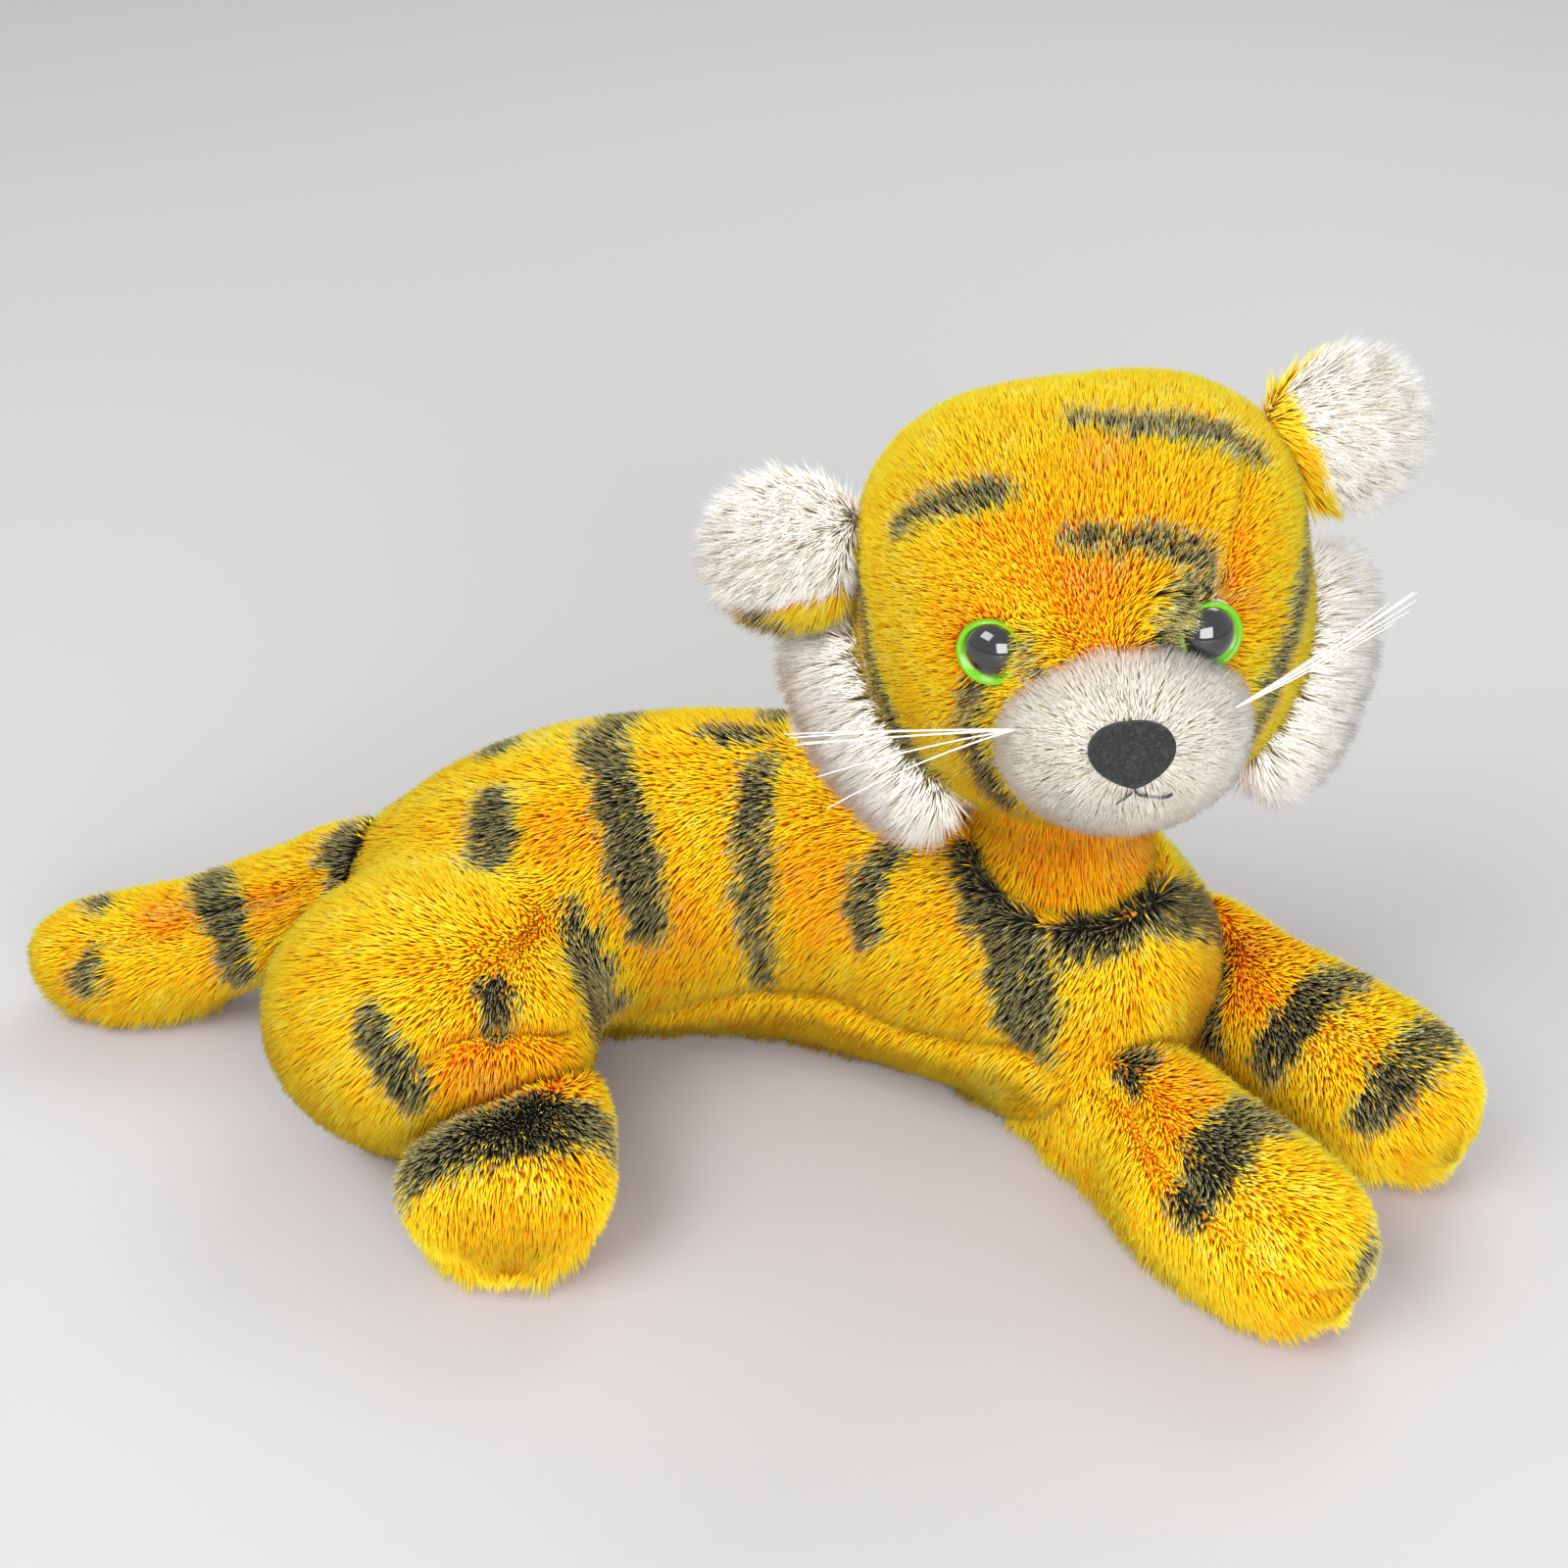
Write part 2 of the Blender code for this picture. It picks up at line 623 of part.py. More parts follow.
def make_nose(looks, head, muzzle):
    """Felt triangle with round corners, its point down."""
    bm = bmesh.new()
    half, low, high = NOSE_WIDTH / 2 - NOSE_CORNER, NOSE_HEIGHT / 2, NOSE_HEIGHT / 2 - NOSE_CORNER
    corners = ((half, high, 0), (-half, high, 90), (0, NOSE_CORNER - low, 195))
    outline = []
    for y, z, start in corners:
        for k in range(5):
            angle = math.radians(start + 90 * k / 4 * (1 if start < 100 else 1.67))
            aside, up = NOSE_CORNER * math.cos(angle), NOSE_CORNER * math.sin(angle)
            outline.append((muzzle_middle(), y + aside, z + up))
    face = bm.faces.new([bm.verts.new(point) for point in outline])
    made = bmesh.ops.extrude_face_region(bm, geom=[face])
    front = [part for part in made["geom"] if isinstance(part, bmesh.types.BMVert)]
    bmesh.ops.translate(bm, verts=front, vec=(MUZZLE_DEPTH / 2 + NOSE_THICK, 0, 0))
    bmesh.ops.translate(bm, verts=bm.verts[:], vec=(0, 0, NOSE_RISE - MUZZLE_DROP))
    nose = finish(bm, "nose_felt", looks["black"], head)
    cut(nose, muzzle)


def thread_curve(name, points, thick, look, parent):
    data = bpy.data.curves.new(name, "CURVE")
    data.dimensions = "3D"
    data.bevel_depth = thick / 2
    data.bevel_resolution = 1
    data.use_fill_caps = True
    line = data.splines.new("POLY")
    line.points.add(len(points) - 1)
    for spot, point in zip(line.points, points):
        spot.co = (*point, 1)
    data.materials.append(look)
    item = bpy.data.objects.new(name, data)
    bpy.context.scene.collection.objects.link(item)
    item.parent = parent
    return item


def make_mouth(looks, head):
    """Thread below the nose: down, then out and up to the tiger's left; a short one to its right."""
    lift = THREAD / 2 + GAP
    start = NOSE_RISE - NOSE_HEIGHT / 2 - THREAD
    fork = -MUZZLE_HEIGHT / 2 * MOUTH_DROP_share
    path = [(0, start + (fork - start) * k / 4) for k in range(5)]
    for k in range(1, 7):
        angle = math.radians(90 * k / 6)
        rise = THREAD * (math.cos(angle) - 1 + k / 3)
        path.append((MOUTH_WIDTH * math.sin(angle), fork + rise))
    start = THREAD + GAP
    short = [(-start - MOUTH_WIDTH / 2 * k / 4, fork - THREAD + THREAD * k / 4) for k in range(5)]
    for label, line in (("left", path), ("right", short)):
        points = [on_muzzle(y, z, lift) for y, z in line]
        thread_curve(f"mouth_thread_{label}", points, THREAD, looks["black"], head)


def make_whiskers(label, side, looks, head):
    """Nylon strands that fan out of one knot at the side of the muzzle."""
    bm = bmesh.new()
    bmesh.ops.create_grid(bm, x_segments=1, y_segments=WHISKER_COUNT, size=WHISKER_KNOT / 2)
    strands = list(bm.faces)
    strands.sort(key=lambda face: face.calc_center_median().y)
    back = bmesh.ops.extrude_face_region(bm, geom=strands, use_keep_orig=True)
    verts = [part for part in back["geom"] if isinstance(part, bmesh.types.BMVert)]
    bmesh.ops.translate(bm, verts=verts, vec=(0, 0, -WHISKER_KNOT / 2))
    bmesh.ops.recalc_face_normals(bm, faces=bm.faces[:])
    for k, face in enumerate(strands):
        lean = math.radians(WHISKER_SPREAD * (k / (WHISKER_COUNT - 1) - 0.5))
        bmesh.ops.inset_individual(bm, faces=[face], thickness=WHISKER_THICK / 4)
        start = face.calc_center_median()
        for step in range(1, 6):
            share = step / 5
            made = bmesh.ops.extrude_discrete_faces(bm, faces=[face])
            face = made["faces"][0]
            bend = lean * (1 + share) / 2
            goal = start + WHISKER_LENGTH * share * Vector((share / 12, math.sin(bend), math.cos(bend)))
            move = goal - face.calc_center_median()
            bmesh.ops.translate(bm, verts=list(face.verts), vec=move)
    wide = MUZZLE_WIDTH / 2 * WHISKER_SIDE_share
    point = on_muzzle(side * wide, MUZZLE_HEIGHT / 2 * WHISKER_RISE_share, WHISKER_KNOT)
    lift = math.radians(WHISKER_LIFT)
    out = Vector((0, side * math.cos(lift), math.sin(lift))).to_track_quat("Z", "Y").to_matrix().to_4x4()
    item = finish(bm, f"whiskers_{label}", looks["white"], head)
    item.matrix_local = Matrix.Translation(point) @ out


def around_head(angle, out, back, side):
    """Place beside the head: Y points out from it and X ahead."""
    turn = Matrix.Rotation(math.radians(angle), 4, "X")
    place = turn @ Matrix.Translation((-back, out, 0))
    if side < 0:
        flip = Matrix.Diagonal((1, -1, 1, 1))
        place = flip @ place @ flip
    return place


def make_ear(label, side, looks, head):
    angle = EAR_ANGLE + side * EAR_UNEVEN
    middle = around_head(angle, HEAD_WIDTH / 2 + EAR_STAND, EAR_BACK, side)
    size = (EAR_THICK, EAR_HEIGHT, EAR_WIDTH)
    root = middle @ Matrix.Translation((0, -side * EAR_STAND, 0))
    joint = empty(f"ear_{label}_joint", root, head)
    local = root.inverted() @ middle
    angles = (-EAR_FOLD, 0, EAR_FOLD)
    turns = [Matrix.Rotation(math.radians(a), 4, "Z") @ root.inverted() for a in angles]
    heads = []
    for k, turn in enumerate(turns):
        bm = head_form(MOVING_GAP)
        bmesh.ops.transform(bm, matrix=turn, verts=bm.verts[:])
        heads.append(finish(bm, f"head_meets_ear_{label}_{k}", None, joint))
    far = EAR_HEIGHT
    ahead = finish(block((-GAP / 2, -far, -far), (far, far, far)), f"ear_{label}_front_half", None, joint)
    behind = finish(block((-far, -far, -far), (GAP / 2, far, far)), f"ear_{label}_back_half", None, joint)
    front = finish(ball(local, size, 0, LIMB_SIDES + 2), f"ear_{label}_front", looks["white"], joint)
    cut(front, behind, *heads)
    back = finish(ball(local, size, 0, LIMB_SIDES + 2), f"ear_{label}_back", looks["yellow"], joint)
    cut(back, ahead, *heads)


def make_ruff(label, side, looks, head, outside, socket, neck_room):
    lean = Matrix.Rotation(math.radians(-RUFF_LEAN), 4, "Y")
    place = around_head(RUFF_ANGLE, HEAD_WIDTH / 2 + RUFF_STAND, RUFF_BACK, side) @ lean
    size = (RUFF_THICK, RUFF_WIDTH, RUFF_LENGTH)
    ruff = finish(ball(place, size, 0, LIMB_SIDES), f"cheek_ruff_{label}", looks["white"], head)
    cut(ruff, outside, socket, neck_room)


def make_head(looks):
    head = empty("head_middle", head_place())
    pivot = head_place().inverted() @ (neck_axis() + Vector((0, 0, NOD_HEIGHT)))
    socket = ball(Matrix.Translation(pivot), [2 * (NECK_BALL + MOVING_GAP)] * 3, 0, 28)
    socket = finish(socket, "neck_socket", None, head)
    neck_room = finish(rod(NECK_RADIUS + OVERRUN, NECK_BOTTOM, NOD_HEIGHT), "neck_room")
    neck_room.location = neck_axis()
    hollow = finish(head_form(-SKIN), "head_hollow", None, head)
    far = HEAD_WIDTH
    rear_half = block((-far, -far, -far), (FACE_SEAM + GAP / 2, far, far))
    front_half = block((FACE_SEAM - GAP / 2, -far, -far), (far, far, far))
    behind = finish(rear_half, "behind_face_seam", None, head)
    ahead = finish(front_half, "ahead_of_face_seam", None, head)
    face = finish(head_form(0), "face_panel", looks["yellow"], head)
    back = finish(head_form(0), "head_back_panel", looks["yellow"], head)
    filling = finish(head_form(-SKIN - GAP), "head_stuffing", looks["fibre"], head)
    cut(face, hollow, behind, socket)
    cut(back, hollow, ahead, socket)
    cut(filling, socket)
    eye_rooms = []
    for label, side in (("left", 1), ("right", -1)):
        pocket, room = make_eye(label, side, looks, head)
        cut(face, pocket)
        cut(filling, pocket)
        eye_rooms.append(room)
    outside = finish(head_form(GAP), "head_outside", None, head)
    muzzle_hollow = finish(muzzle_form(-SKIN), "muzzle_hollow", None, head)
    muzzle = finish(muzzle_form(0), "muzzle_skin", looks["white"], head)
    cut(muzzle, outside, muzzle_hollow, *eye_rooms)
    muzzle_filling = finish(muzzle_form(-SKIN - GAP), "muzzle_stuffing", looks["fibre"], head)
    cut(muzzle_filling, outside)
    make_nose(looks, head, finish(muzzle_form(GAP), "muzzle_outside", None, head))
    make_mouth(looks, head)
    for label, side in (("left", 1), ("right", -1)):
        make_whiskers(label, side, looks, head)
        make_ear(label, side, looks, head)
        make_ruff(label, side, looks, head, outside, socket, neck_room)


def main():
    clear_scene()
    looks = {
        "yellow": material("yellow_plush", YELLOW, 0.9),
        "orange": material("orange_plush", ORANGE, 0.9),
        "white": material("white_plush", WHITE, 0.9),
        "fibre": material("fibre_filling", FIBRE, 0.95),
        "green": material("green_plastic", GREEN, 0.2),
        "black": material("black_plastic", BLACK, 0.15),
    }
    torso = make_torso(looks, neck_hole())
    for label, side in (("left", 1), ("right", -1)):
        make_thigh(label, side, looks, torso)
        make_foot(label, side, looks)
        make_leg(label, side, looks)
    make_tail(looks)
    make_neck(looks)
    make_head(looks)


main()
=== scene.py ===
# %% [markdown]
# # A lying plush tiger
# The toy is a set of stuffed plush forms: a body, two haunches, four feet and legs, a tail, a neck, a head
# with a muzzle, ears and cheek ruffs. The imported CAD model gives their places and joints. This script gives
# them their looks: stuffed skins, a pile of real fibres, printed stripes, button eyes, a felt nose and
# whiskers. Everything is in metres, in the frame of the CAD model, so nothing has to be fitted.

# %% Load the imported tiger
import json
import math

import bmesh
import bpy
import numpy as np
from mathutils import Matrix, Vector
from mathutils.bvhtree import BVHTree

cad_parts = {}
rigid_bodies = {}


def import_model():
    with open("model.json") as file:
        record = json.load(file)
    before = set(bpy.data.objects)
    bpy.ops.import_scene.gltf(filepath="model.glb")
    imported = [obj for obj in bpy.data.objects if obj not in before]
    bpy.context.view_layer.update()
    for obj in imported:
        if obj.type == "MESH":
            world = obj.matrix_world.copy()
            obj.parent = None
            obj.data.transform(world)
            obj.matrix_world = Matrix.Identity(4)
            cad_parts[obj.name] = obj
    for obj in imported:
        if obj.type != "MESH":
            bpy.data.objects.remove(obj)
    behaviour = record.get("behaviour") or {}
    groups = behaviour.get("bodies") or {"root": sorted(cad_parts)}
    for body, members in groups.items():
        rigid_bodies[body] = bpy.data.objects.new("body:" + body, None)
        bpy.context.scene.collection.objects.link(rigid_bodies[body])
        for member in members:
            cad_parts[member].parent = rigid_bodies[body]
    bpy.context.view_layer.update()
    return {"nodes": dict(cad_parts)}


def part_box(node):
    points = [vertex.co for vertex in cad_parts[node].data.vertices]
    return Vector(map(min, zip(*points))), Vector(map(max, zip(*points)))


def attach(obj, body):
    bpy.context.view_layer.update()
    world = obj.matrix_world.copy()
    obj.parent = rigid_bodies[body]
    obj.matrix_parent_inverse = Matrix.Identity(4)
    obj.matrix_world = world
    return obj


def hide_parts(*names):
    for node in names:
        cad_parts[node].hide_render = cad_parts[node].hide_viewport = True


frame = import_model()
MM = 0.001

# %% [markdown]
# ## Camera
# The toy lies on a table and is seen from above, from its right side. The camera is aimed at the middle of
# the toy from 35 degrees above the table, half a metre away, so that the near paw looks bigger than the
# tail.

# %% Aim the camera
AIM = Vector((-2, 6.5, 60)) * MM
AZIMUTH, ELEVATION, DISTANCE, FIELD = math.radians(20), math.radians(35), 499.5 * MM, math.radians(40)
level = math.cos(ELEVATION)
backward = Vector((math.sin(AZIMUTH) * level, -math.cos(AZIMUTH) * level, math.sin(ELEVATION)))
camera = bpy.data.objects.new("camera", bpy.data.cameras.new("camera"))
bpy.context.scene.collection.objects.link(camera)
camera.data.angle = FIELD
camera.data.clip_start = 10 * MM
camera.location = AIM + backward * DISTANCE
camera.rotation_euler = backward.to_track_quat("Z", "Y").to_euler()
bpy.context.scene.camera = camera
print("camera height in mm:", round(camera.location.z / MM))

# %% [markdown]
# ## Floor and light
# A plain pale table top carries the shadow. One big soft light hangs to the left above the camera, as a
# window would. A second one stands low beside the camera and lights what faces it, a weak one shines from
# behind, and the world lights the rest evenly. Colours render about as they are written, because the view
# transform is Standard and the light stays at a plain level.


# %% Lay the floor and hang the lights
def light(name, place, size, power):
    data = bpy.data.lights.new(name, "AREA")
    data.shape, data.size, data.size_y, data.energy = "RECTANGLE", size[0], size[1], power
    item = bpy.data.objects.new(name, data)
    item.location = place
    item.rotation_euler = (item.location - AIM).to_track_quat("Z", "Y").to_euler()
    bpy.context.scene.collection.objects.link(item)


def plain_look(name, colour, roughness):
    look = bpy.data.materials.new(name)
    look.use_nodes = True
    shader = look.node_tree.nodes["Principled BSDF"]
    shader.inputs["Base Color"].default_value = (*colour, 1)
    shader.inputs["Roughness"].default_value = roughness
    return look, shader


def add_piece(name, bm, look=None):
    mesh = bpy.data.meshes.new(name)
    bm.to_mesh(mesh)
    bm.free()
    item = bpy.data.objects.new(name, mesh)
    bpy.context.scene.collection.objects.link(item)
    if look:
        mesh.materials.append(look)
    return item


bm = bmesh.new()
bmesh.ops.create_grid(bm, x_segments=1, y_segments=1, size=4)
floor = add_piece("table_top", bm, plain_look("pale_table", (0.45, 0.45, 0.45), 0.7)[0])
light("window_light", (-0.55, -0.75, 1.15), (0.9, 0.7), 14)
light("fill_light", (0.60, -0.90, 0.42), (0.8, 0.6), 13)
light("back_light", (0.1, 0.9, 1.0), (0.9, 0.5), 5.5)
world = bpy.data.worlds.new("studio")
world.use_nodes = True
sky = world.node_tree.nodes["Background"].inputs
sky["Color"].default_value, sky["Strength"].default_value = (0.84, 0.84, 0.84, 1), 0.85
bpy.context.scene.world = world
bpy.context.scene.view_settings.view_transform = "Standard"

# %% [markdown]
# ## Where the parts of the toy lie
# A maker marks stripes on each cloth part before it is sewn, so each part has its own measures: along it,
# to its left and up, in millimetres. The legs, feet, tail and head each have one place. The body follows
# the curve of its spine, which is given by points from the rump to the chest.


# %% Give each part its place
def placed(heading, x, y):
    return Matrix.Translation((x * MM, y * MM, 0)) @ Matrix.Rotation(math.radians(heading), 4, "Z")


PLACES = {
    "leg_left": placed(-31, 81.2, 36.1),
    "leg_right": placed(-31, 64.2, -15.5),
    "foot_left": placed(111.4, -66.2, 4.2),
    "foot_right": placed(-68.6, -40.5, -61.5),
    "tail": placed(203.5, -81.9, -24.8),
    "head": Matrix.Translation(Vector((65.5, -1.6, 126)) * MM)
    @ Matrix.Rotation(math.radians(-67.5), 4, "Z")
    @ Matrix.Rotation(math.radians(-13), 4, "Y")
    @ Matrix.Rotation(math.radians(6), 4, "X"),
}
SPINE_ALONG = np.arange(-100, 101, 20)
SPINE_X = [-95, -77.9, -57.8, -39.3, -20.1, 0, 21.6, 43, 63.5, 83.7, 100]
SPINE_Y = [-34, -27.6, -20, -12.7, -5.7, 0, 1.5, 0.9, -1.3, -5.7, -10.4]
SPINE_HEADING = np.radians([20.5, 20.5, 21.6, 20.6, 19.8, 9.6, 0, -3.6, -8.6, -15.4, -15.4])


def on_part(part, x, y, z):
    """Point in metres of a part's own measures in millimetres."""
    if part != "spine":
        return PLACES[part] @ (Vector((x, y, z)) * MM)
    heading = np.interp(x, SPINE_ALONG, SPINE_HEADING)
    across = Vector((-math.sin(heading), math.cos(heading), 0)) * y
    start = Vector((np.interp(x, SPINE_ALONG, SPINE_X), np.interp(x, SPINE_ALONG, SPINE_Y), 0))
    return (start + across + Vector((0, 0, z))) * MM


def spine_heading(points):
    """Level direction of the spine beside each point."""
    headings = np.interp(points[:, 0] / MM, SPINE_X, SPINE_HEADING)
    return np.stack([np.cos(headings), np.sin(headings), np.zeros(len(points))], axis=1)


print("head middle in mm:", [round(v / MM, 1) for v in on_part("head", 0, 0, 0)])

# %% [markdown]
# ## Stuffed skins
# Under the pile each part is a knitted backing, sewn and stuffed tight. The CAD solids hold the pile too,
# so the skin starts a little inside them: the solids of one part are joined, remeshed into even squares and
# drawn in. Then the cloth is blown up by a short simulation with pressure, as stuffing does, and each point
# may move only a little. The underside stays on the table. The skins could be carved by hand, but a remesh
# keeps the exact forms of the CAD model.

# %% Join, remesh and draw in the solids of a part
INSET, VOXEL = 1.6 * MM, 3.4 * MM
RESTING, RESTING_EASE, LOWEST = 0.5 * MM, 6 * MM, 0.05 * MM
WELD = 0.001 * MM


def joined(name, nodes):
    bm = bmesh.new()
    for node in nodes:
        bm.from_mesh(frame["nodes"][node].data)
    bmesh.ops.remove_doubles(bm, verts=bm.verts, dist=WELD)
    return add_piece(name, bm)


def apply_modifiers(item):
    graph = bpy.context.evaluated_depsgraph_get()
    mesh = bpy.data.meshes.new_from_object(item.evaluated_get(graph))
    item.modifiers.clear()
    old, item.data = item.data, mesh
    bpy.data.meshes.remove(old)
    mesh.name = item.name


def skin_points(skin):
    """Points and normals of a skin, one to a row."""
    mesh = skin.data
    points, normals = np.empty(len(mesh.vertices) * 3), np.empty(len(mesh.vertices) * 3)
    mesh.vertices.foreach_get("co", points)
    mesh.vertex_normals.foreach_get("vector", normals)
    return points.reshape(-1, 3), normals.reshape(-1, 3)


def move_points(skin, points):
    skin.data.vertices.foreach_set("co", points.ravel())
    skin.data.update()


def tree_of(item):
    """A search tree that finds the nearest spot on a piece."""
    return BVHTree.FromObject(item, bpy.context.evaluated_depsgraph_get())


def smooth(bm, verts, times=1):
    for _ in range(times):
        bmesh.ops.smooth_vert(bm, verts=verts, factor=0.5, use_axis_x=True, use_axis_y=True, use_axis_z=True)


def keep_outer_shell(bm):
    """Deletes the small closed shells that a remesh leaves inside a skin."""
    left, shells = set(bm.verts), []
    while left:
        shell, edge = set(), [left.pop()]
        while edge:
            vert = edge.pop()
            shell.add(vert)
            near = [other for e in vert.link_edges for other in [e.other_vert(vert)] if other in left]
            left.difference_update(near)
            edge.extend(near)
        shells.append(shell)
    shells.sort(key=len, reverse=True)
    inner = [vert for shell in shells[1:] for vert in shell]
    bmesh.ops.delete(bm, geom=inner, context="VERTS")


def draw_in(item, depth):
    """Moves a skin inwards, but leaves its underside on the table."""
    bm = bmesh.new()
    bm.from_mesh(item.data)
    keep_outer_shell(bm)
    bm.normal_update()
    for vert in bm.verts:
        ease = min(max((vert.co.z - RESTING) / RESTING_EASE, 0), 1)
        vert.co -= vert.normal * depth * ease
    for _ in range(4):
        smooth(bm, [vert for vert in bm.verts if vert.co.z > 2 * RESTING])
    bm.to_mesh(item.data)
    bm.free()


# %% Swell a skin as stuffing does
SWELL_FRAMES = 20


def swell(item, most):
    """Cloth with pressure and no gravity. No point moves further than most."""
    start = skin_points(item)[0]
    cloth = item.modifiers.new("stuffing", "CLOTH")
    cloth.settings.quality = 4
    cloth.settings.mass = 0.3
    cloth.settings.use_pressure = True
    cloth.settings.uniform_pressure_force = 4
    cloth.settings.effector_weights.gravity = 0
    cloth.point_cache.frame_start, cloth.point_cache.frame_end = 1, SWELL_FRAMES
    for step in range(1, SWELL_FRAMES + 1):
        bpy.context.scene.frame_set(step)
    apply_modifiers(item)
    move = skin_points(item)[0] - start
    far = np.linalg.norm(move, axis=1, keepdims=True)
    move *= np.minimum(1, most / np.maximum(far, 1e-9))
    move *= np.clip((start[:, 2:] - RESTING) / RESTING_EASE, 0, 1)
    move_points(item, start + move)
    bpy.context.scene.frame_set(1)
    return far.max()


def subdivide_once(item):
    step = item.modifiers.new("finer", "SUBSURF")
    step.levels = step.render_levels = 1
    apply_modifiers(item)
    for vert in item.data.vertices:
        vert.co.z = max(vert.co.z, LOWEST)
    item.data.shade_smooth()


def solid_shape(nodes):
    item = joined("shape", nodes)
    shape = tree_of(item)
    bpy.data.objects.remove(item)
    return shape


def fill_creases(item, nodes, others, reach=11 * MM):
    """Smooths a skin where two groups of its solids meet, as stuffing does behind a seam."""
    near, far = solid_shape(nodes), solid_shape(others)
    bm = bmesh.new()
    bm.from_mesh(item.data)
    crease = []
    for vert in bm.verts:
        gaps = [shape.find_nearest(vert.co)[3] for shape in (near, far)]
        if max(gaps) < reach and vert.co.z > 2 * RESTING:
            crease.append(vert)
    smooth(bm, crease, times=14)
    bm.to_mesh(item.data)
    bm.free()
    return len(crease)


def stuffed_skin(name, nodes, body, slot, inset=INSET, voxel=VOXEL, fill=0.85, creases=None):
    item = joined(name, nodes)
    remesh = item.modifiers.new("even", "REMESH")
    remesh.mode, remesh.voxel_size = "VOXEL", voxel
    apply_modifiers(item)
    draw_in(item, inset)
    if creases:
        print(name, "points along creases:", fill_creases(item, *creases))
    moved = swell(item, 1.0 * MM)
    subdivide_once(item)
    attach(item, body)
    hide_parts(*nodes)
    print(name, "faces:", len(item.data.polygons), "swelled by mm:", round(moved / MM, 2))
    return item


# %% [markdown]
# The pieces follow the way the toy is sewn. The body is two side panels with a belly panel. Each haunch is
# a dart-shaped bulge of the side panel, so it moves with the body. Ears and ruffs are thin, so they get
# finer squares and are drawn in less.

# %% Make the skins
skins = {}


def add_skin(label, nodes, body, slot="yellow_plush", **how):
    skins[label] = stuffed_skin(f"{label}_cloth", nodes, body, slot, **how)


CROWN_SWELL, CROWN_FROM = 0.12, 20.0


def fuller_crown(x, y, z):
    """The stuffing is packed tight under the ears, so the head is a little square there. In millimetres."""
    corner = (2 * y * z / (y * y + z * z + 1)) ** 2 * min(max(z / CROWN_FROM, 0), 1)
    fuller = 1 + CROWN_SWELL * corner
    return x, y * fuller, z * fuller


LEG_SLIMMER, SLIM_FROM, SLIM_TO, LEG_HALF = 7.0, 55.0, 30.0, 18.0


def slim_leg_root(side, sign):
    """The outer side of a front leg starts further in than the CAD form, in line with the flank."""
    place = PLACES[f"leg_{side}"]
    for vert in skins[f"front_leg_{side}"].data.vertices:
        x, y, z = place.inverted() @ vert.co / MM
        share = min(max((SLIM_FROM - x) / (SLIM_FROM - SLIM_TO), 0), 1)
        share = share * share * (3 - 2 * share) * min(max(sign * y / LEG_HALF, 0), 1)
        vert.co = place @ (Vector((x, y - sign * LEG_SLIMMER * share, z)) * MM)
    skins[f"front_leg_{side}"].data.update()


HAUNCHES = [f"haunch_{side}_{layer}" for side in ("left", "right") for layer in ("skin", "stuffing")]
PANELS = ["side_panel_left", "side_panel_right", "belly_gusset", "torso_stuffing"]
add_skin("body", PANELS + HAUNCHES, "torso", creases=(PANELS, HAUNCHES))
for side in ("left", "right"):
    foot, leg = f"hind_foot_{side}", f"front_leg_{side}"
    add_skin(foot, [f"{foot}_skin", f"{foot}_stuffing"], foot)
    add_skin(leg, [f"{leg}_skin", f"{leg}_stuffing"], leg)
slim_leg_root("left", 1)
slim_leg_root("right", -1)
add_skin("tail", ["tail_skin", "tail_stuffing"], "tail", voxel=2.6 * MM)
add_skin("neck", ["neck_skin", "neck_stuffing"], "neck", slot="orange_plush", voxel=2.6 * MM)
add_skin("head", ["face_panel", "head_back_panel", "head_stuffing"], "head")
for vert in skins["head"].data.vertices:
    vert.co = PLACES["head"] @ (Vector(fuller_crown(*(PLACES["head"].inverted() @ vert.co / MM))) * MM)
skins["head"].data.update()
add_skin("muzzle", ["muzzle_skin", "muzzle_stuffing"], "head", "white_plush", voxel=2 * MM, inset=1.2 * MM)
for side in ("left", "right"):
    ear, ruff = f"ear_{side}", f"cheek_ruff_{side}"
    add_skin(ear, [f"{ear}_front", f"{ear}_back"], ear, slot="white_plush", voxel=1.6 * MM, inset=2.6 * MM)
    add_skin(ruff, [ruff], "head", slot="white_plush", voxel=2.2 * MM, inset=2.5 * MM, fill=0.5)

# %% [markdown]
# ## Printed stripes
# The stripes are sprayed on the pile with a stencil, so their edges are broken and grey-green where dark
# and yellow fibres mix. Each stripe is a line over its part, given by points with a half width. A fibre is
# dark when its upper half lies closer to the line than that width. The body is printed alike on both sides.

# %% Stripes of the body, the haunches and the tail
BODY_STRIPES = [
    [(-41, 6, 76, 3.5), (-37, -13, 73, 4.2), (-34, -22, 66, 4.6), (-31, -29, 56, 4.2), (-29, -32, 46, 2.6)],
    [(-4, -9, 77, 2.2), (-4, -20, 70, 2.9), (-3, -27, 62, 2.9), (-1, -31, 49, 3.1), (2, -32, 35, 2.2)],
    [(30, -22, 68, 2.2), (27, -26, 63, 2.6), (26, -30, 57, 2.6), (28, -33, 52, 1.8)],
    [(-65, -11, 66, 4.0), (-64, -18, 63, 4.6), (-65, -22, 58, 3.2)],
    [(-14, 0, 78, 2.4), (-6, 0, 78, 2.2)],
    [(-47, -30, 50, 2.6), (-43, -38, 44, 3.4), (-40, -40, 34, 3.8), (-37, -36, 26, 2.4)],
    [(48, -19, 69, 3.6), (54, -24, 64, 5.2), (63, -28, 58, 5.6), (69, -32, 50, 5.8), (73, -34, 38, 4.2)],
]
CHEST_STRIPES = [
    [(75, -19, 58, 5.6), (81, -12, 61, 6.0), (86, -3, 60, 6.0), (91, 11, 53, 5.4), (92, 22, 42, 4)],
]
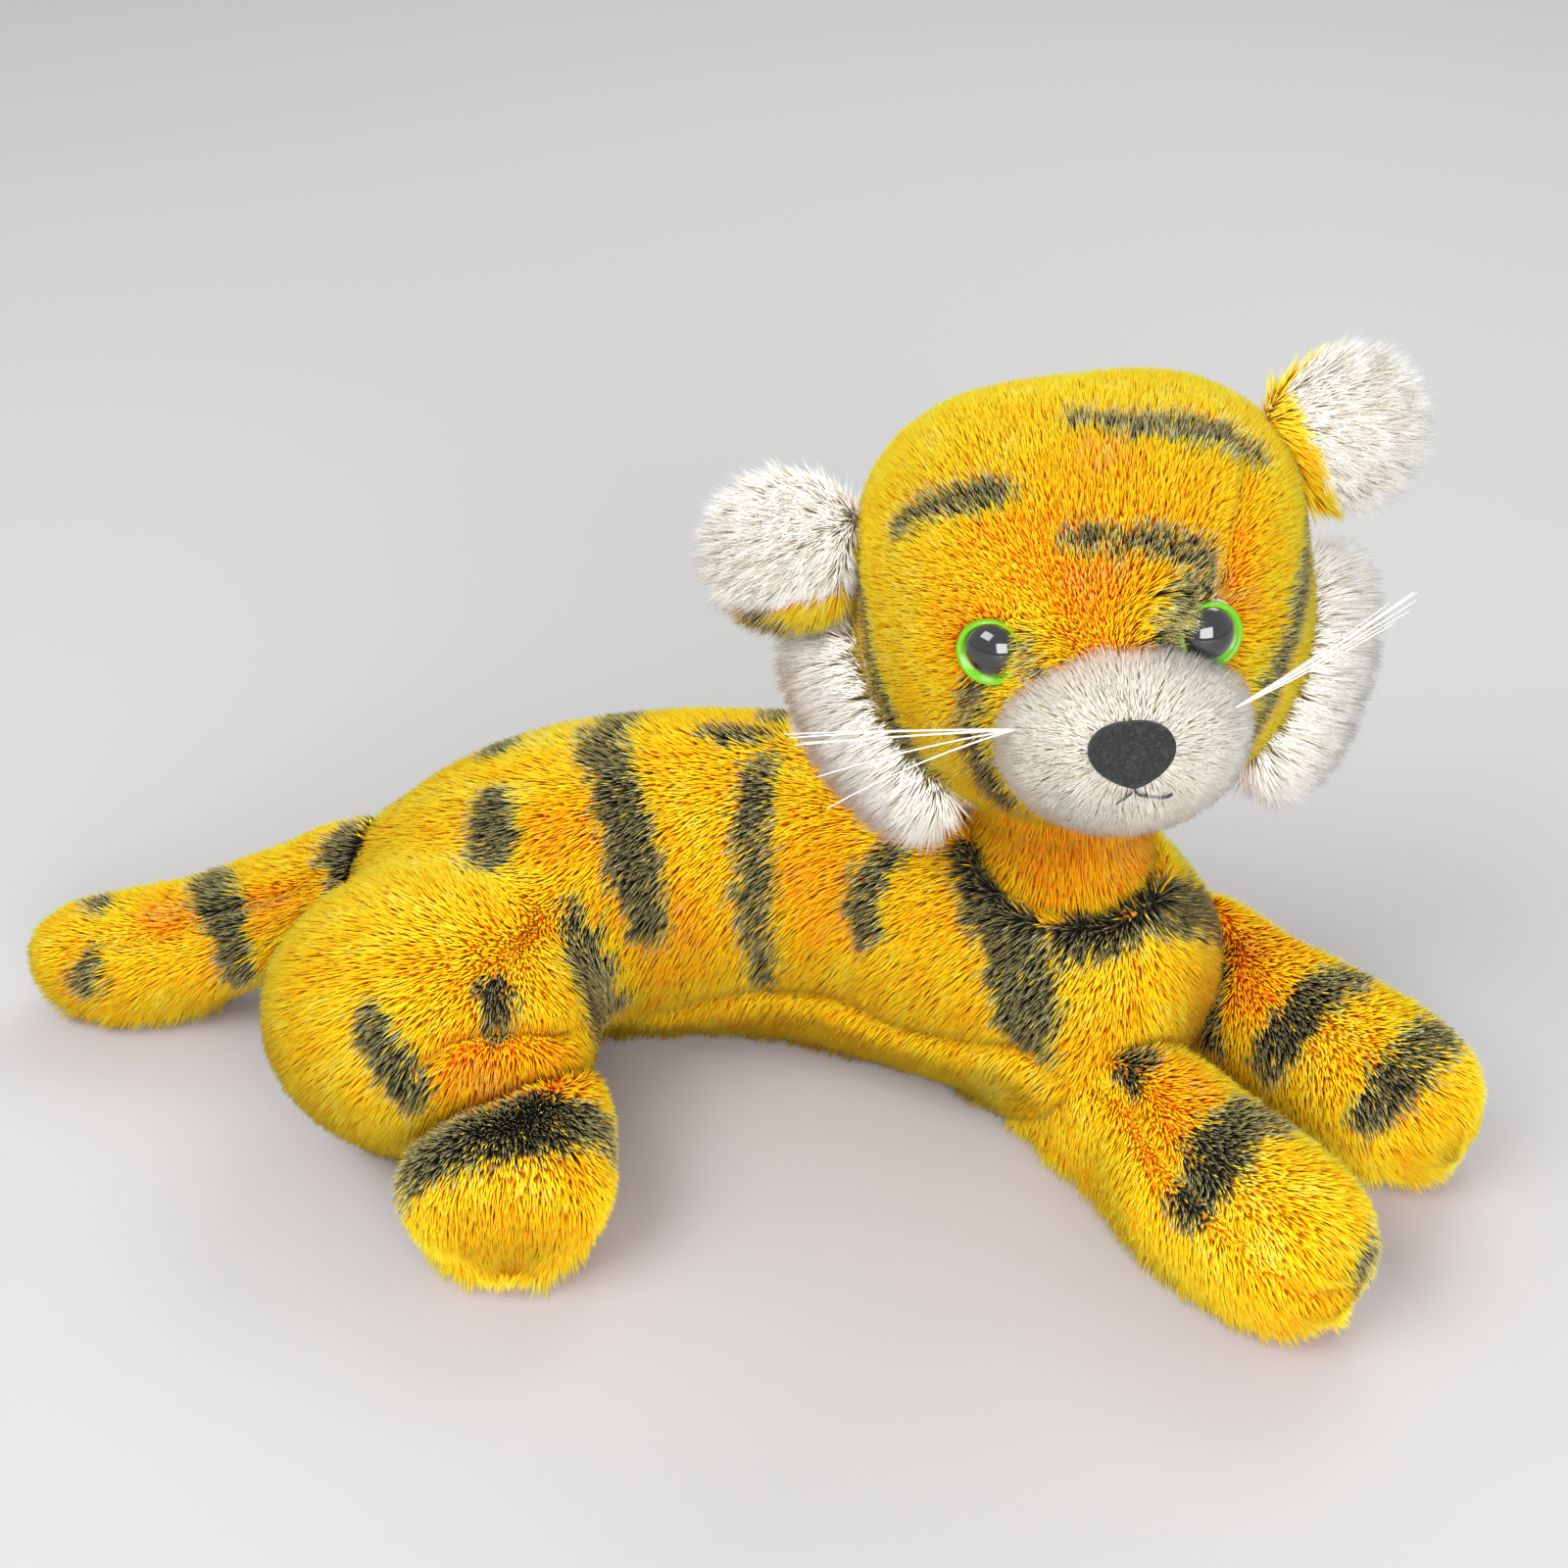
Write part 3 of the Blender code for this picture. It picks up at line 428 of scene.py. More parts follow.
HAUNCH_STRIPES = [
    [(-47, -31, 50, 2.6), (-43, -41, 44, 3.6), (-39, -44, 33, 4.0), (-37, -42, 24, 2.4)],
    [(-61, -59, 51, 2.6), (-60, -63, 46, 2.2)],
    [(-85, -64, 50, 2.2), (-80, -70, 42, 3.4), (-76, -72, 34, 2.6)],
]
TAIL_STRIPES = [
    [(13, -6, 46, 2.4), (18, 3, 47, 3.6), (18, 9, 45, 3.4), (17, 12, 40, 2.2)],
    [(52, -6, 33, 3.4), (50, 1, 35, 4.6), (47, 8, 33, 4.8), (45, 13, 28, 3.6), (44, 15, 18, 3.0)],
    [(79, -6, 27, 1.6), (78, -2, 29, 2.4)],
    [(80, 12, 21, 2.6), (81, 13, 15, 2.0)],
]
print("body stripes:", len(BODY_STRIPES) + len(CHEST_STRIPES))

# %% Stripes of the legs, the feet and the head
FOOT_STRIPES = [
    [(34, -24, 14, 6), (37, -21, 26, 7), (38, -12, 33, 7.5), (37, -2, 35, 7.5), (34, 10, 33, 7),
     (27, 21, 22, 5)],
]
LEG_RIGHT_STRIPES = [
    [(32, 4, 41, 1.4), (34, -2, 39, 2.2), (36, -10, 36, 1.8)],
    [(58, 14, 31, 3.4), (59, 6, 36, 5.0), (62, -9, 35, 5.4), (63, -16, 28, 3.6)],
    [(91, 8, 22, 2.8), (92, 3, 20, 2.4)],
]
LEG_LEFT_STRIPES = [
    [(55, 8, 38, 2.8), (55, -4, 37, 3.6), (55, -17, 29, 3.8), (54, -20, 22, 2.6)],
    [(77, 12, 33, 2.8), (79, 3, 35, 4.0), (81, -10, 32, 4.2), (79, -17, 23, 2.8)],
    [(29, -10, 30, 2.0), (34, -16, 26, 2.6), (39, -20, 20, 2.0)],
]
HEAD_STRIPES = [
    [(18, -34, 24, 0.7), (21, -30, 27, 1.2), (25, -24, 29, 1.8), (28, -17, 31, 1.7)],
    [(37, -6, 25, 0.7), (38, 1, 25, 1.1), (39, 9, 22, 1.5), (39, 15, 19, 1.8), (40, 18, 15, 2.4)],
    [(16, -1, 44, 1.4), (19, 9, 41, 2.0), (20, 18, 36, 2.6), (20, 28, 30, 1.8)],
    [(40, 18, 14, 2.4), (42, 14, 13, 2.4), (44, 10, 9, 2.2), (45, 8, 5, 1.4)],
    [(43, -20, 11, 0.6), (44, -18.5, 7, 1.0), (44, -18, 3, 0.9)],
    [(37, -29, -1, 1.0), (33, -30, -12, 1.6), (29, -27, -21, 1.9), (23, -21, -33, 1.6)],
    [(2, -46, 10, 1.4), (6, -45, 2, 2.4), (9, -44, -7, 2.6), (11, -42, -17, 2.6), (13, -39, -27, 2.4),
     (16, -33, -36, 2.0)],
    [(6, 43, 18, 1.8), (15, 41, 10, 2.3), (22, 38, 4, 2.4), (27, 35, -3, 2.4), (30, 31, -11, 2.4),
     (30, 28, -20, 2.2), (26, 23, -32, 1.8)],
    [(-31, 4, 32, 1.0), (-30, 10, 31, 2.2), (-27, 17, 31, 2.6), (-22, 24, 30, 1.2)],
    [(-38, -3, 23, 1.0), (-37, -10, 22, 2.2), (-35, -18, 20, 2.6), (-30, -26, 19, 1.4)],
    [(-43, 2, 10, 1.0), (-41, 12, 10, 2.4), (-39, 20, 8, 2.6), (-34, 28, 5, 1.2)],
    [(-44, -4, 0, 1.0), (-42, -13, 0, 2.4), (-39, -21, -2, 2.6), (-33, -30, -4, 1.4)],
    [(-42, 4, -14, 1.0), (-40, 13, -15, 2.2), (-36, 22, -15, 2.2), (-31, 29, -16, 1.0)],
]


def world_lines(part, lines):
    """Lines of a part in metres, as arrays of points with a half width."""
    made = []
    for line in lines:
        made.append(np.array([(*on_part(part, x, y, z), wide * MM) for x, y, z, wide in line]))
    return made


def on_crown(line):
    """Moves a line of the head out to its fuller crown."""
    return [(*fuller_crown(x, y, z), *wide) for x, y, z, *wide in line]


def both_sides(lines):
    return lines + [[(x, -y, z, wide) for x, y, z, wide in line] for line in lines]


STRIPES = {
    "body": world_lines("spine", both_sides(BODY_STRIPES + HAUNCH_STRIPES) + CHEST_STRIPES),
    "hind_foot_left": world_lines("foot_left", FOOT_STRIPES),
    "hind_foot_right": world_lines("foot_right", FOOT_STRIPES),
    "front_leg_left": world_lines("leg_left", LEG_LEFT_STRIPES),
    "front_leg_right": world_lines("leg_right", LEG_RIGHT_STRIPES),
    "tail": world_lines("tail", TAIL_STRIPES),
    "head": world_lines("head", [on_crown(line) for line in HEAD_STRIPES]),
    "ear_left": world_lines("head", [[(-6, 66, 8, 3), (-8, 70, 16, 3)], [(-8, 48, 30, 3), (-9, 55, 36, 3)]]),
    "ear_right": world_lines("head", [[(-4, -66, 4, 4), (-6, -60, -2, 4), (-6, -52, -4, 4)]]),
}
print("striped parts:", len(STRIPES))


# %% Measure how far a fibre is from a line
def beyond_lines(points, lines):
    """Distance past the edge of the nearest line, negative inside it."""
    best = np.full(len(points), 1.0)
    for line in lines:
        for start, end in zip(line, line[1:]):
            along = end[:3] - start[:3]
            share = np.clip((points - start[:3]) @ along / (along @ along), 0, 1)
            near = start[:3] + share[:, None] * along
            half = start[3] + share * (end[3] - start[3])
            best = np.minimum(best, np.linalg.norm(points - near, axis=1) - half)
    return best


def uneven(points, size, seed):
    """Smooth unevenness about zero, mostly within 1, with bumps of this size."""
    draw = np.random.default_rng(seed)
    waves = draw.normal(size=(14, 3)) * 2.4 / size
    starts = draw.uniform(0, 2 * math.pi, 14)
    return np.sin(points @ waves.T + starts).sum(axis=1) / math.sqrt(14)


# %% [markdown]
# ## Seams
# The pile hides the thread, but a seam still shows as a soft groove: the cloth is drawn in, and the pile
# beside it is shorter and parts to both sides. The belly panel's seam runs along the flank and on down the
# outside of the front leg, the tail is closed on top, the thigh has a fold over the foot, and the face has
# a dart above the left eye.

# %% Lay the seams on the skins
def laid_on(label, lines, steps=6):
    """Lines in metres, drawn finer and laid on a skin."""
    shape = tree_of(skins[label])
    laid = []
    for line in lines:
        fine = [start + (end - start) * k / steps for start, end in zip(line, line[1:]) for k in range(steps)]
        laid.append(np.array([(*shape.find_nearest(Vector(spot[:3]))[0], 0) for spot in fine + [line[-1]]]))
    return laid


LEG_SEAM = [
    (20, 16, 33, 0), (26, 14, 34, 0), (35, 12, 35, 0), (49, 14, 32, 0), (66, 15, 30, 0), (84, 15, 26, 0),
    (90, 11, 21, 0), (93, 4, 18, 0),
]
FLANK_SEAM = [
    (-25, -28, 19, 0), (-14, -30, 24, 0), (1, -32, 29, 0), (21, -34, 33, 0), (38, -34, 30, 0),
    (53, -36, 32, 0), (69, -35, 34, 0), (75, -32, 31, 0),
]
THIGH_FOLD = [(-74, -71, 41, 0), (-72, -70, 43, 0), (-67, -67, 46, 0), (-56, -62, 44, 0), (-44, -54, 36, 0)]
TAIL_SEAM = [
    (84, 9, 23, 0), (71, 10, 26, 0), (60, 10, 28, 0), (49, 10, 32, 0), (38, 10, 36, 0), (26, 10, 41, 0),
    (14, 10, 46, 0),
]
FACE_DART = [(38, 20, 12, 0), (33, 22, 20, 0), (21, 27, 30, 0)]
SEAMS = {
    "body": laid_on("body", world_lines("spine", both_sides([FLANK_SEAM]) + [THIGH_FOLD])),
    "front_leg_left": laid_on("front_leg_left", world_lines("leg_left", [LEG_SEAM])),
    "front_leg_right": laid_on("front_leg_right", world_lines("leg_right", both_sides([LEG_SEAM])[1:])),
    "tail": laid_on("tail", world_lines("tail", [TAIL_SEAM])),
    "head": laid_on("head", world_lines("head", [on_crown(FACE_DART)])),
}
print("seams on:", list(SEAMS))

# %% Draw the seams in
SEAM_WIDE, SEAM_DEEP = 2.6 * MM, 2.8 * MM


def beside_seam(label, points):
    """1 on a seam of this part, 0 away from it."""
    if label not in SEAMS:
        return np.zeros(len(points))
    return np.exp(-((beyond_lines(points, SEAMS[label]) / SEAM_WIDE) ** 2))


def from_seam(label, points):
    """The way from a seam to each point, by the slope of the distance."""
    if label not in SEAMS:
        return np.zeros((len(points), 3))
    lines, step = SEAMS[label], 0.1 * MM
    slope = []
    for move in np.eye(3) * step:
        slope.append(beyond_lines(points + move, lines) - beyond_lines(points - move, lines))
    return np.stack(slope, axis=1) / (2 * step)


for label in SEAMS:
    points, normals = skin_points(skins[label])
    move_points(skins[label], points - normals * SEAM_DEEP * beside_seam(label, points)[:, None])
print("seamed parts:", len(SEAMS))

# %% [markdown]
# ## The colour of the plush
# A fibre has one place on a colour chart: its tone runs from black over grey-green and orange to yellow and
# lemon. Its root is darker, which is painted shade, the shade that falls deep between the fibres, and its tip
# is paler. The chart is laid out as a UV map: across is the tone and up is the way along the fibre. So one
# material dresses every fibre, and the same map serves when the colours are baked. The white plush has a
# chart of its own.

# %% Make the plush materials
ORANGE_TONE = 0.42
STRIPED_CHART = [
    (0.00, (0.010, 0.009, 0.007)),
    (0.12, (0.022, 0.020, 0.012)),
    (0.22, (0.130, 0.125, 0.040)),
    (0.30, (0.480, 0.300, 0.020)),
    (ORANGE_TONE, (1.000, 0.210, 0.000)),
    (0.58, (1.000, 0.330, 0.000)),
    (0.75, (1.000, 0.470, 0.001)),
    (1.00, (1.000, 0.660, 0.020)),
]
WHITE_CHART = [(0.0, (0.88, 0.77, 0.53)), (0.5, (0.94, 0.86, 0.65)), (1.0, (0.97, 0.91, 0.74))]


def colour_ramp(look, chart, source):
    """Turns a value from 0 to 1 into a colour of the chart."""
    ramp = look.node_tree.nodes.new("ShaderNodeValToRGB")
    stops = ramp.color_ramp.elements
    while len(stops) < len(chart):
        stops.new(0.5)
    for stop, (place, colour) in zip(stops, chart):
        stop.position, stop.color = place, (*colour, 1)
    look.node_tree.links.new(source, ramp.inputs["Fac"])
    return ramp.outputs["Color"]


def plush_look(name, chart, root_shade_colour, tip_colour, root_shade_share, tip_share):
    look, shader = plain_look(name, (0.8, 0.8, 0.8), 0.85)
    nodes, link = look.node_tree.nodes, look.node_tree.links.new
    chart_map = nodes.new("ShaderNodeUVMap")
    chart_map.uv_map = "OFBake"
    split = nodes.new("ShaderNodeSeparateXYZ")
    link(chart_map.outputs["UV"], split.inputs[0])
    colour = colour_ramp(look, chart, split.outputs["X"])
    # The root mix darkens each fibre towards its root: painted shade, where shade falls deep between the
    # fibres.
    root = (0.55, 0.0, root_shade_colour, root_shade_share, "MULTIPLY")
    tip = (0.5, 1.0, tip_colour, tip_share, "MIX")
    for low, high, other, most, kind in (root, tip):
        share = nodes.new("ShaderNodeMapRange")
        share.inputs["From Min"].default_value = low
        share.inputs["From Max"].default_value = high
        share.inputs["To Max"].default_value = most
        link(split.outputs["Y"], share.inputs["Value"])
        mix = nodes.new("ShaderNodeMix")
        mix.data_type, mix.blend_type = "RGBA", kind
        under, over, mixed = mix.inputs[6], mix.inputs[7], mix.outputs[2]
        over.default_value = (*other, 1)
        link(share.outputs["Result"], mix.inputs["Factor"])
        link(colour, under)
        colour = mixed
    link(colour, shader.inputs["Base Color"])
    shader.inputs["Subsurface Weight"].default_value = 0.9
    shader.inputs["Subsurface Radius"].default_value = (1, 1, 1)
    shader.inputs["Subsurface Scale"].default_value = 0.8 * MM
    shader.inputs["Specular IOR Level"].default_value = 0.03
    shader.inputs["Sheen Weight"].default_value = 0.01
    shader.inputs["Sheen Roughness"].default_value = 0.5
    return look


# Root colours: painted shade that darkens each fibre towards its root, between the fibres.
YELLOW_ROOT_SHADE, YELLOW_TIP = (1.00, 0.88, 0.80), (1.00, 0.80, 0.10)
WHITE_ROOT_SHADE, WHITE_TIP = (0.97, 0.93, 0.86), (0.98, 0.94, 0.84)
striped_plush = plush_look("striped_plush_fibre", STRIPED_CHART, YELLOW_ROOT_SHADE, YELLOW_TIP, 0.4, 0.04)
white_plush = plush_look("white_plush_fibre", WHITE_CHART, WHITE_ROOT_SHADE, WHITE_TIP, 0.4, 0.30)
print("plush materials:", striped_plush.name, white_plush.name)

# %% [markdown]
# The knitted backing shows only between the fibres. It has the colour of the pile above it, taken from the
# same tones as an attribute of the skin, with a fine knitted bump.


# %% Make the backing material
def backing_look(name, chart):
    look, shader = plain_look(name, (0.8, 0.8, 0.8), 0.95)
    nodes, link = look.node_tree.nodes, look.node_tree.links.new
    tone = nodes.new("ShaderNodeAttribute")
    tone.attribute_name = "tone"
    darker = [(place, [0.92 * part for part in colour]) for place, colour in chart]
    link(colour_ramp(look, darker, tone.outputs["Fac"]), shader.inputs["Base Color"])
    where = nodes.new("ShaderNodeTexCoord")
    knit = nodes.new("ShaderNodeTexVoronoi")
    knit.inputs["Scale"].default_value = 900
    link(where.outputs["Object"], knit.inputs["Vector"])
    bump = nodes.new("ShaderNodeBump")
    bump.inputs["Strength"].default_value = 0.4
    bump.inputs["Distance"].default_value = 0.4 * MM
    link(knit.outputs["Distance"], bump.inputs["Height"])
    link(bump.outputs["Normal"], shader.inputs["Normal"])
    return look


striped_backing = backing_look("striped_plush_backing", STRIPED_CHART)
white_backing = backing_look("white_plush_backing", WHITE_CHART)
print("backing materials:", striped_backing.name, white_backing.name)

# %% [markdown]
# ## Button eyes
# Each eye is a green plastic button with a black dome moulded on it. Both are turned parts, so a profile is
# spun round the eye's own axis, which stands square to the face. The dome is as glossy as glass: it mirrors
# the lights, and that gives the toy its look. The two eyes don't sit quite alike. In the values below, 1
# stands for the tiger's left side and -1 for its right.

# %% Place the eyes
HEAD_HALVES = (45.0, 46.0, 46.0)
EYE_RISE = {1: 4.7, -1: 5.5}
EYE_ASIDE = {1: 17.0, -1: -24.0}
EYE_TILT, EYE_SUNK = 0.15, 1.0
MUZZLE_DROP = 13.0


def eye_place(side):
    """Matrix at an eye, its Z out of the face."""
    across, rise = EYE_ASIDE[side], EYE_RISE[side]
    a, b, c = HEAD_HALVES
    ahead = a * math.sqrt(1 - (across / b) ** 2 - (rise / c) ** 2)
    out = Vector((ahead / a**2, across / b**2, rise / c**2)).normalized()
    to_nose = Vector((0, -3.0 - across, -MUZZLE_DROP - rise)).normalized()
    turn = (out + EYE_TILT * to_nose).to_track_quat("Z", "Y").to_matrix().to_4x4()
    return PLACES["head"] @ Matrix.Translation((Vector((ahead, across, rise)) - EYE_SUNK * out) * MM) @ turn


def turned_part(name, profile, place, look, steps=64):
    """Spins a profile of radius and height in millimetres."""
    bm = bmesh.new()
    verts = [bm.verts.new((radius * MM, 0, height * MM)) for radius, height in profile]
    edges = [bm.edges.new(pair) for pair in zip(verts, verts[1:])]
    bmesh.ops.spin(bm, geom=verts + edges, cent=(0, 0, 0), axis=(0, 0, 1), angle=2 * math.pi, steps=steps,
                   use_merge=True)
    bmesh.ops.remove_doubles(bm, verts=bm.verts, dist=WELD)
    bmesh.ops.recalc_face_normals(bm, faces=bm.faces[:])
    bmesh.ops.transform(bm, matrix=place, verts=bm.verts[:])
    item = add_piece(name, bm, look)
    item.data.shade_smooth()
    return item


# %% Make the plastic of the eyes
def noise_on(look, scale):
    """A fine noise that is fixed to the object, as a value from 0 to 1."""
    where = look.node_tree.nodes.new("ShaderNodeTexCoord")
    noise = look.node_tree.nodes.new("ShaderNodeTexNoise")
    noise.inputs["Scale"].default_value = scale
    look.node_tree.links.new(where.outputs["Object"], noise.inputs["Vector"])
    return noise


def mottle(look, scale, dark, pale, dark_at=0.0, pale_at=1.0):
    """Lets a look's colour wander between two shades."""
    noise = noise_on(look, scale)
    shade = colour_ramp(look, [(dark_at, dark), (pale_at, pale)], noise.outputs["Fac"])
    look.node_tree.links.new(shade, look.node_tree.nodes["Principled BSDF"].inputs["Base Color"])
    return noise


green_plastic, shader = plain_look("green_eye_plastic", (0.12, 0.42, 0.008), 0.22)
shader.inputs["Subsurface Weight"].default_value = 0.2
shader.inputs["Subsurface Radius"].default_value = (0.4, 1.0, 0.1)
shader.inputs["Subsurface Scale"].default_value = 0.8 * MM
mottle(green_plastic, 260, (0.10, 0.34, 0.004), (0.16, 0.49, 0.010))
black_plastic, shader = plain_look("black_eye_plastic", (0.008, 0.008, 0.010), 0.06)
shader.inputs["Coat Weight"].default_value = 1.0
shader.inputs["Coat Roughness"].default_value = 0.03
worn = black_plastic.node_tree.nodes.new("ShaderNodeMapRange")
worn.inputs["To Min"].default_value, worn.inputs["To Max"].default_value = 0.04, 0.12
black_plastic.node_tree.links.new(noise_on(black_plastic, 900).outputs["Fac"], worn.inputs["Value"])
black_plastic.node_tree.links.new(worn.outputs["Result"], shader.inputs["Roughness"])
print("eye materials:", green_plastic.name, black_plastic.name)

# %% Turn the buttons and their domes
BUTTON = [
    (0, -0.5), (6.0, -0.5), (6.35, -0.2), (6.5, 0.3), (6.4, 1.0), (6.1, 1.4), (5.7, 1.6), (5.35, 1.5),
    (5.2, 1.2), (0, 1.2),
]
DOME_WIDE, DOME_LOW, DOME_WALL, DOME_HIGH, DOME_STEPS = 5.2, 1.0, 0.2, 3.6, 12
PUPIL_ASIDE, PUPIL_WAY = 0.9 * MM, 0.85
dome = [(0, DOME_LOW), (DOME_WIDE, DOME_LOW)]
for k in range(1, DOME_STEPS + 1):
    angle = math.pi / 2 * k / DOME_STEPS
    dome.append((DOME_WIDE * math.cos(angle), DOME_LOW + DOME_WALL + DOME_HIGH * math.sin(angle)))
dome[-1] = (0, dome[-1][1])
for side, sign in (("left", 1), ("right", -1)):
    place = eye_place(sign)
    button = turned_part(f"eye_{side}_green", BUTTON, place, green_plastic)
    face_to_eye = (PLACES["head"].to_3x3().inverted() @ place.to_3x3()).inverted()
    aside = Matrix.Translation(PUPIL_ASIDE * (face_to_eye @ Vector((0, -PUPIL_WAY * sign, PUPIL_WAY))))
    pupil = turned_part(f"eye_{side}_black", dome, place @ aside, black_plastic)
    for item, node, slot in ((button, "button", "green_plastic"), (pupil, "pupil", "black_plastic")):
        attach(item, "head")
        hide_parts(f"eye_{side}_{node}")
    print(f"eye_{side}: button and dome", len(button.data.polygons), len(pupil.data.polygons), "faces")

# %% [markdown]
# ## Felt nose
# The nose is cut from black felt: round at the top, with bulging sides that run to a blunt point. It
# follows the curve of the muzzle. A round face is inset into rings, each ring is moved to the cut outline,
# and the sheet is extruded and its rim rounded.

# %% Cut the nose
MUZZLE_HALVES = (17.0, 24.0, 19.0)
MUZZLE_AHEAD = 40.0
NOSE_HALF, NOSE_TOP, NOSE_LOW = 7.9, 5.2, 7.2
NOSE_ASIDE, NOSE_RISE, FELT_THICK = -1.6, 3.4, 1.9


def on_muzzle(y, z, lift):
    """Point over the muzzle's front in head millimetres, y and z from its middle."""
    a, b, c = (half + lift for half in MUZZLE_HALVES)
    return (MUZZLE_AHEAD + a * math.sqrt(max(1 - (y / b) ** 2 - (z / c) ** 2, 0.01)), y, z - MUZZLE_DROP)


def nose_spot(point):
    """Moves a point of the unit disc to the outline of the nose."""
    far = min(math.hypot(point.x, point.y), 1.0)
    angle = math.atan2(point.y, point.x)
    up = math.sin(angle)
    side = math.cos(angle)
    wide = NOSE_HALF * math.copysign(abs(side) ** (0.8 if up > 0 else 1.6), side)
    high = NOSE_TOP * up if up > 0 else NOSE_LOW * up
    return wide * far + NOSE_ASIDE, high * far + NOSE_RISE


felt, felt_shader = plain_look("black_felt", (0.012, 0.012, 0.013), 0.95)
bm = bmesh.new()
bmesh.ops.create_circle(bm, cap_ends=True, segments=48, radius=1)
for _ in range(3):
    bmesh.ops.inset_region(bm, faces=[face for face in bm.faces if len(face.verts) == 48], thickness=0.24)
bmesh.ops.poke(bm, faces=[face for face in bm.faces if len(face.verts) == 48])
for vert in bm.verts:
    vert.co = PLACES["head"] @ (Vector(on_muzzle(*nose_spot(vert.co), FELT_THICK)) * MM)
ahead = PLACES["head"].to_3x3().col[0]
if sum(face.normal.dot(ahead) for face in bm.faces) < 0:
    bmesh.ops.reverse_faces(bm, faces=bm.faces[:])
back = bmesh.ops.extrude_face_region(bm, geom=bm.faces[:], use_keep_orig=True)
back = [part for part in back["geom"] if isinstance(part, bmesh.types.BMVert)]
bmesh.ops.translate(bm, verts=back, vec=-FELT_THICK * MM * ahead)
bmesh.ops.recalc_face_normals(bm, faces=bm.faces[:])
rim = [edge for edge in bm.edges if edge.calc_face_angle(0) > 1.0]
bmesh.ops.bevel(bm, geom=rim, offset=0.45 * MM, segments=3, affect="EDGES", profile=0.5, material=-1)
nose = add_piece("nose_pad", bm, felt)
nose.data.shade_smooth()
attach(nose, "head")
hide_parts("nose_felt")
print("nose faces:", len(nose.data.polygons), "rim edges:", len(rim))

# %% Make the felt look matted
lint = mottle(felt, 1400, (0.008, 0.008, 0.009), (0.045, 0.047, 0.044), 0.45, 0.78)
lint.inputs["Detail"].default_value = 5
lint.inputs["Distortion"].default_value = 1.5
bump = felt.node_tree.nodes.new("ShaderNodeBump")
bump.inputs["Strength"].default_value = 0.8
bump.inputs["Distance"].default_value = 0.3 * MM
felt.node_tree.links.new(lint.outputs["Fac"], bump.inputs["Height"])
felt.node_tree.links.new(bump.outputs["Normal"], felt_shader.inputs["Normal"])
felt_shader.inputs["Sheen Weight"].default_value = 0.08
print("felt nodes:", len(felt.node_tree.nodes))

# %% [markdown]
# ## Mouth thread and whiskers
# The mouth is two stitches of grey-black thread, half buried in the pile. The whiskers are stiff nylon
# strands that leave the muzzle in one bundle on each side and fan out a little. Both are drawn as curves
# with a round section, which taper where the real ones do, and then made a mesh.


# %% Draw strands as tapering tubes
def strand_piece(name, strands, look, node):
    """Strands are lists of points in head millimetres, each with a radius in millimetres."""
    data = bpy.data.curves.new(name, "CURVE")
    data.dimensions = "3D"
    data.bevel_depth = MM
    data.bevel_resolution = 1
    data.use_fill_caps = True
    for strand in strands:
        line = data.splines.new("POLY")
        line.points.add(len(strand) - 1)
        for spot, (x, y, z, radius) in zip(line.points, strand):
            spot.co = (*on_part("head", x, y, z), 1)
            spot.radius = radius
    item = bpy.data.objects.new(name, data)
    bpy.context.scene.collection.objects.link(item)
    mesh = bpy.data.meshes.new_from_object(item.evaluated_get(bpy.context.evaluated_depsgraph_get()))
    bpy.data.objects.remove(item)
    item = bpy.data.objects.new(name, mesh)
    bpy.context.scene.collection.objects.link(item)
    bm = bmesh.new()
    bm.from_mesh(mesh)
    bmesh.ops.remove_doubles(bm, verts=bm.verts, dist=WELD)
    bmesh.ops.recalc_face_normals(bm, faces=bm.faces[:])
    bm.to_mesh(mesh)
    bm.free()
    mesh.materials.clear()
    mesh.materials.append(look)
    mesh.shade_smooth()
    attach(item, "head")
    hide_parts(node)
    print(name, "faces:", len(mesh.polygons))


# %% Stitch the mouth
thread_look = plain_look("grey_black_thread", (0.03, 0.03, 0.035), 0.8)[0]
mottle(thread_look, 1200, (0.015, 0.015, 0.018), (0.080, 0.080, 0.085))
THREAD_STEPS, THREAD_TURN = 6, 1.3


def twisted(path, thick):
    """Two plies that wind round each other along a path over the muzzle."""
    plies = [[], []]
    for k in range((len(path) - 1) * THREAD_STEPS + 1):
        share = k / THREAD_STEPS
        low = min(int(share), len(path) - 2)
        y, z, lift = (a + (b - a) * (share - low) for a, b in zip(path[low], path[low + 1]))
        for ply, start in zip(plies, (0, math.pi)):
            angle = start + THREAD_TURN * k
            x0, y0, z0 = on_muzzle(y, z + thick * math.cos(angle), lift + thick * math.sin(angle))
            ply.append((x0, y0, z0, thick))
    return plies


MOUTH_LEFT = [
    (-1.6, -3.4, 0.3), (-1.5, -4.8, 0.7), (-0.6, -5.8, 0.3), (1.2, -6.6, -0.2), (3.0, -7.0, 0.3),
    (4.4, -6.8, 1.0), (5.2, -6.4, 0.9),
]
MOUTH_RIGHT = [(-2.0, -5.0, 0.5), (-3.4, -6.4, 0.2), (-5.0, -7.8, -0.2)]
for side, path, thick in (("left", MOUTH_LEFT, 0.2), ("right", MOUTH_RIGHT, 0.14)):
    stitch = twisted(path, thick)
    strand_piece(f"mouth_stitch_{side}", stitch, thread_look, f"mouth_thread_{side}")

# %% Fan out the whiskers
nylon, shader = plain_look("clear_nylon", (0.88, 0.86, 0.80), 0.28)
shader.inputs["Transmission Weight"].default_value = 0.25
mottle(nylon, 300, (0.80, 0.77, 0.68), (0.95, 0.94, 0.90))
WHISKER_ROOT, WHISKER_STEPS, ROOT_RADIUS, TIP_RADIUS = (20.0, 6.0, 0.2), 12, 0.21, 0.12


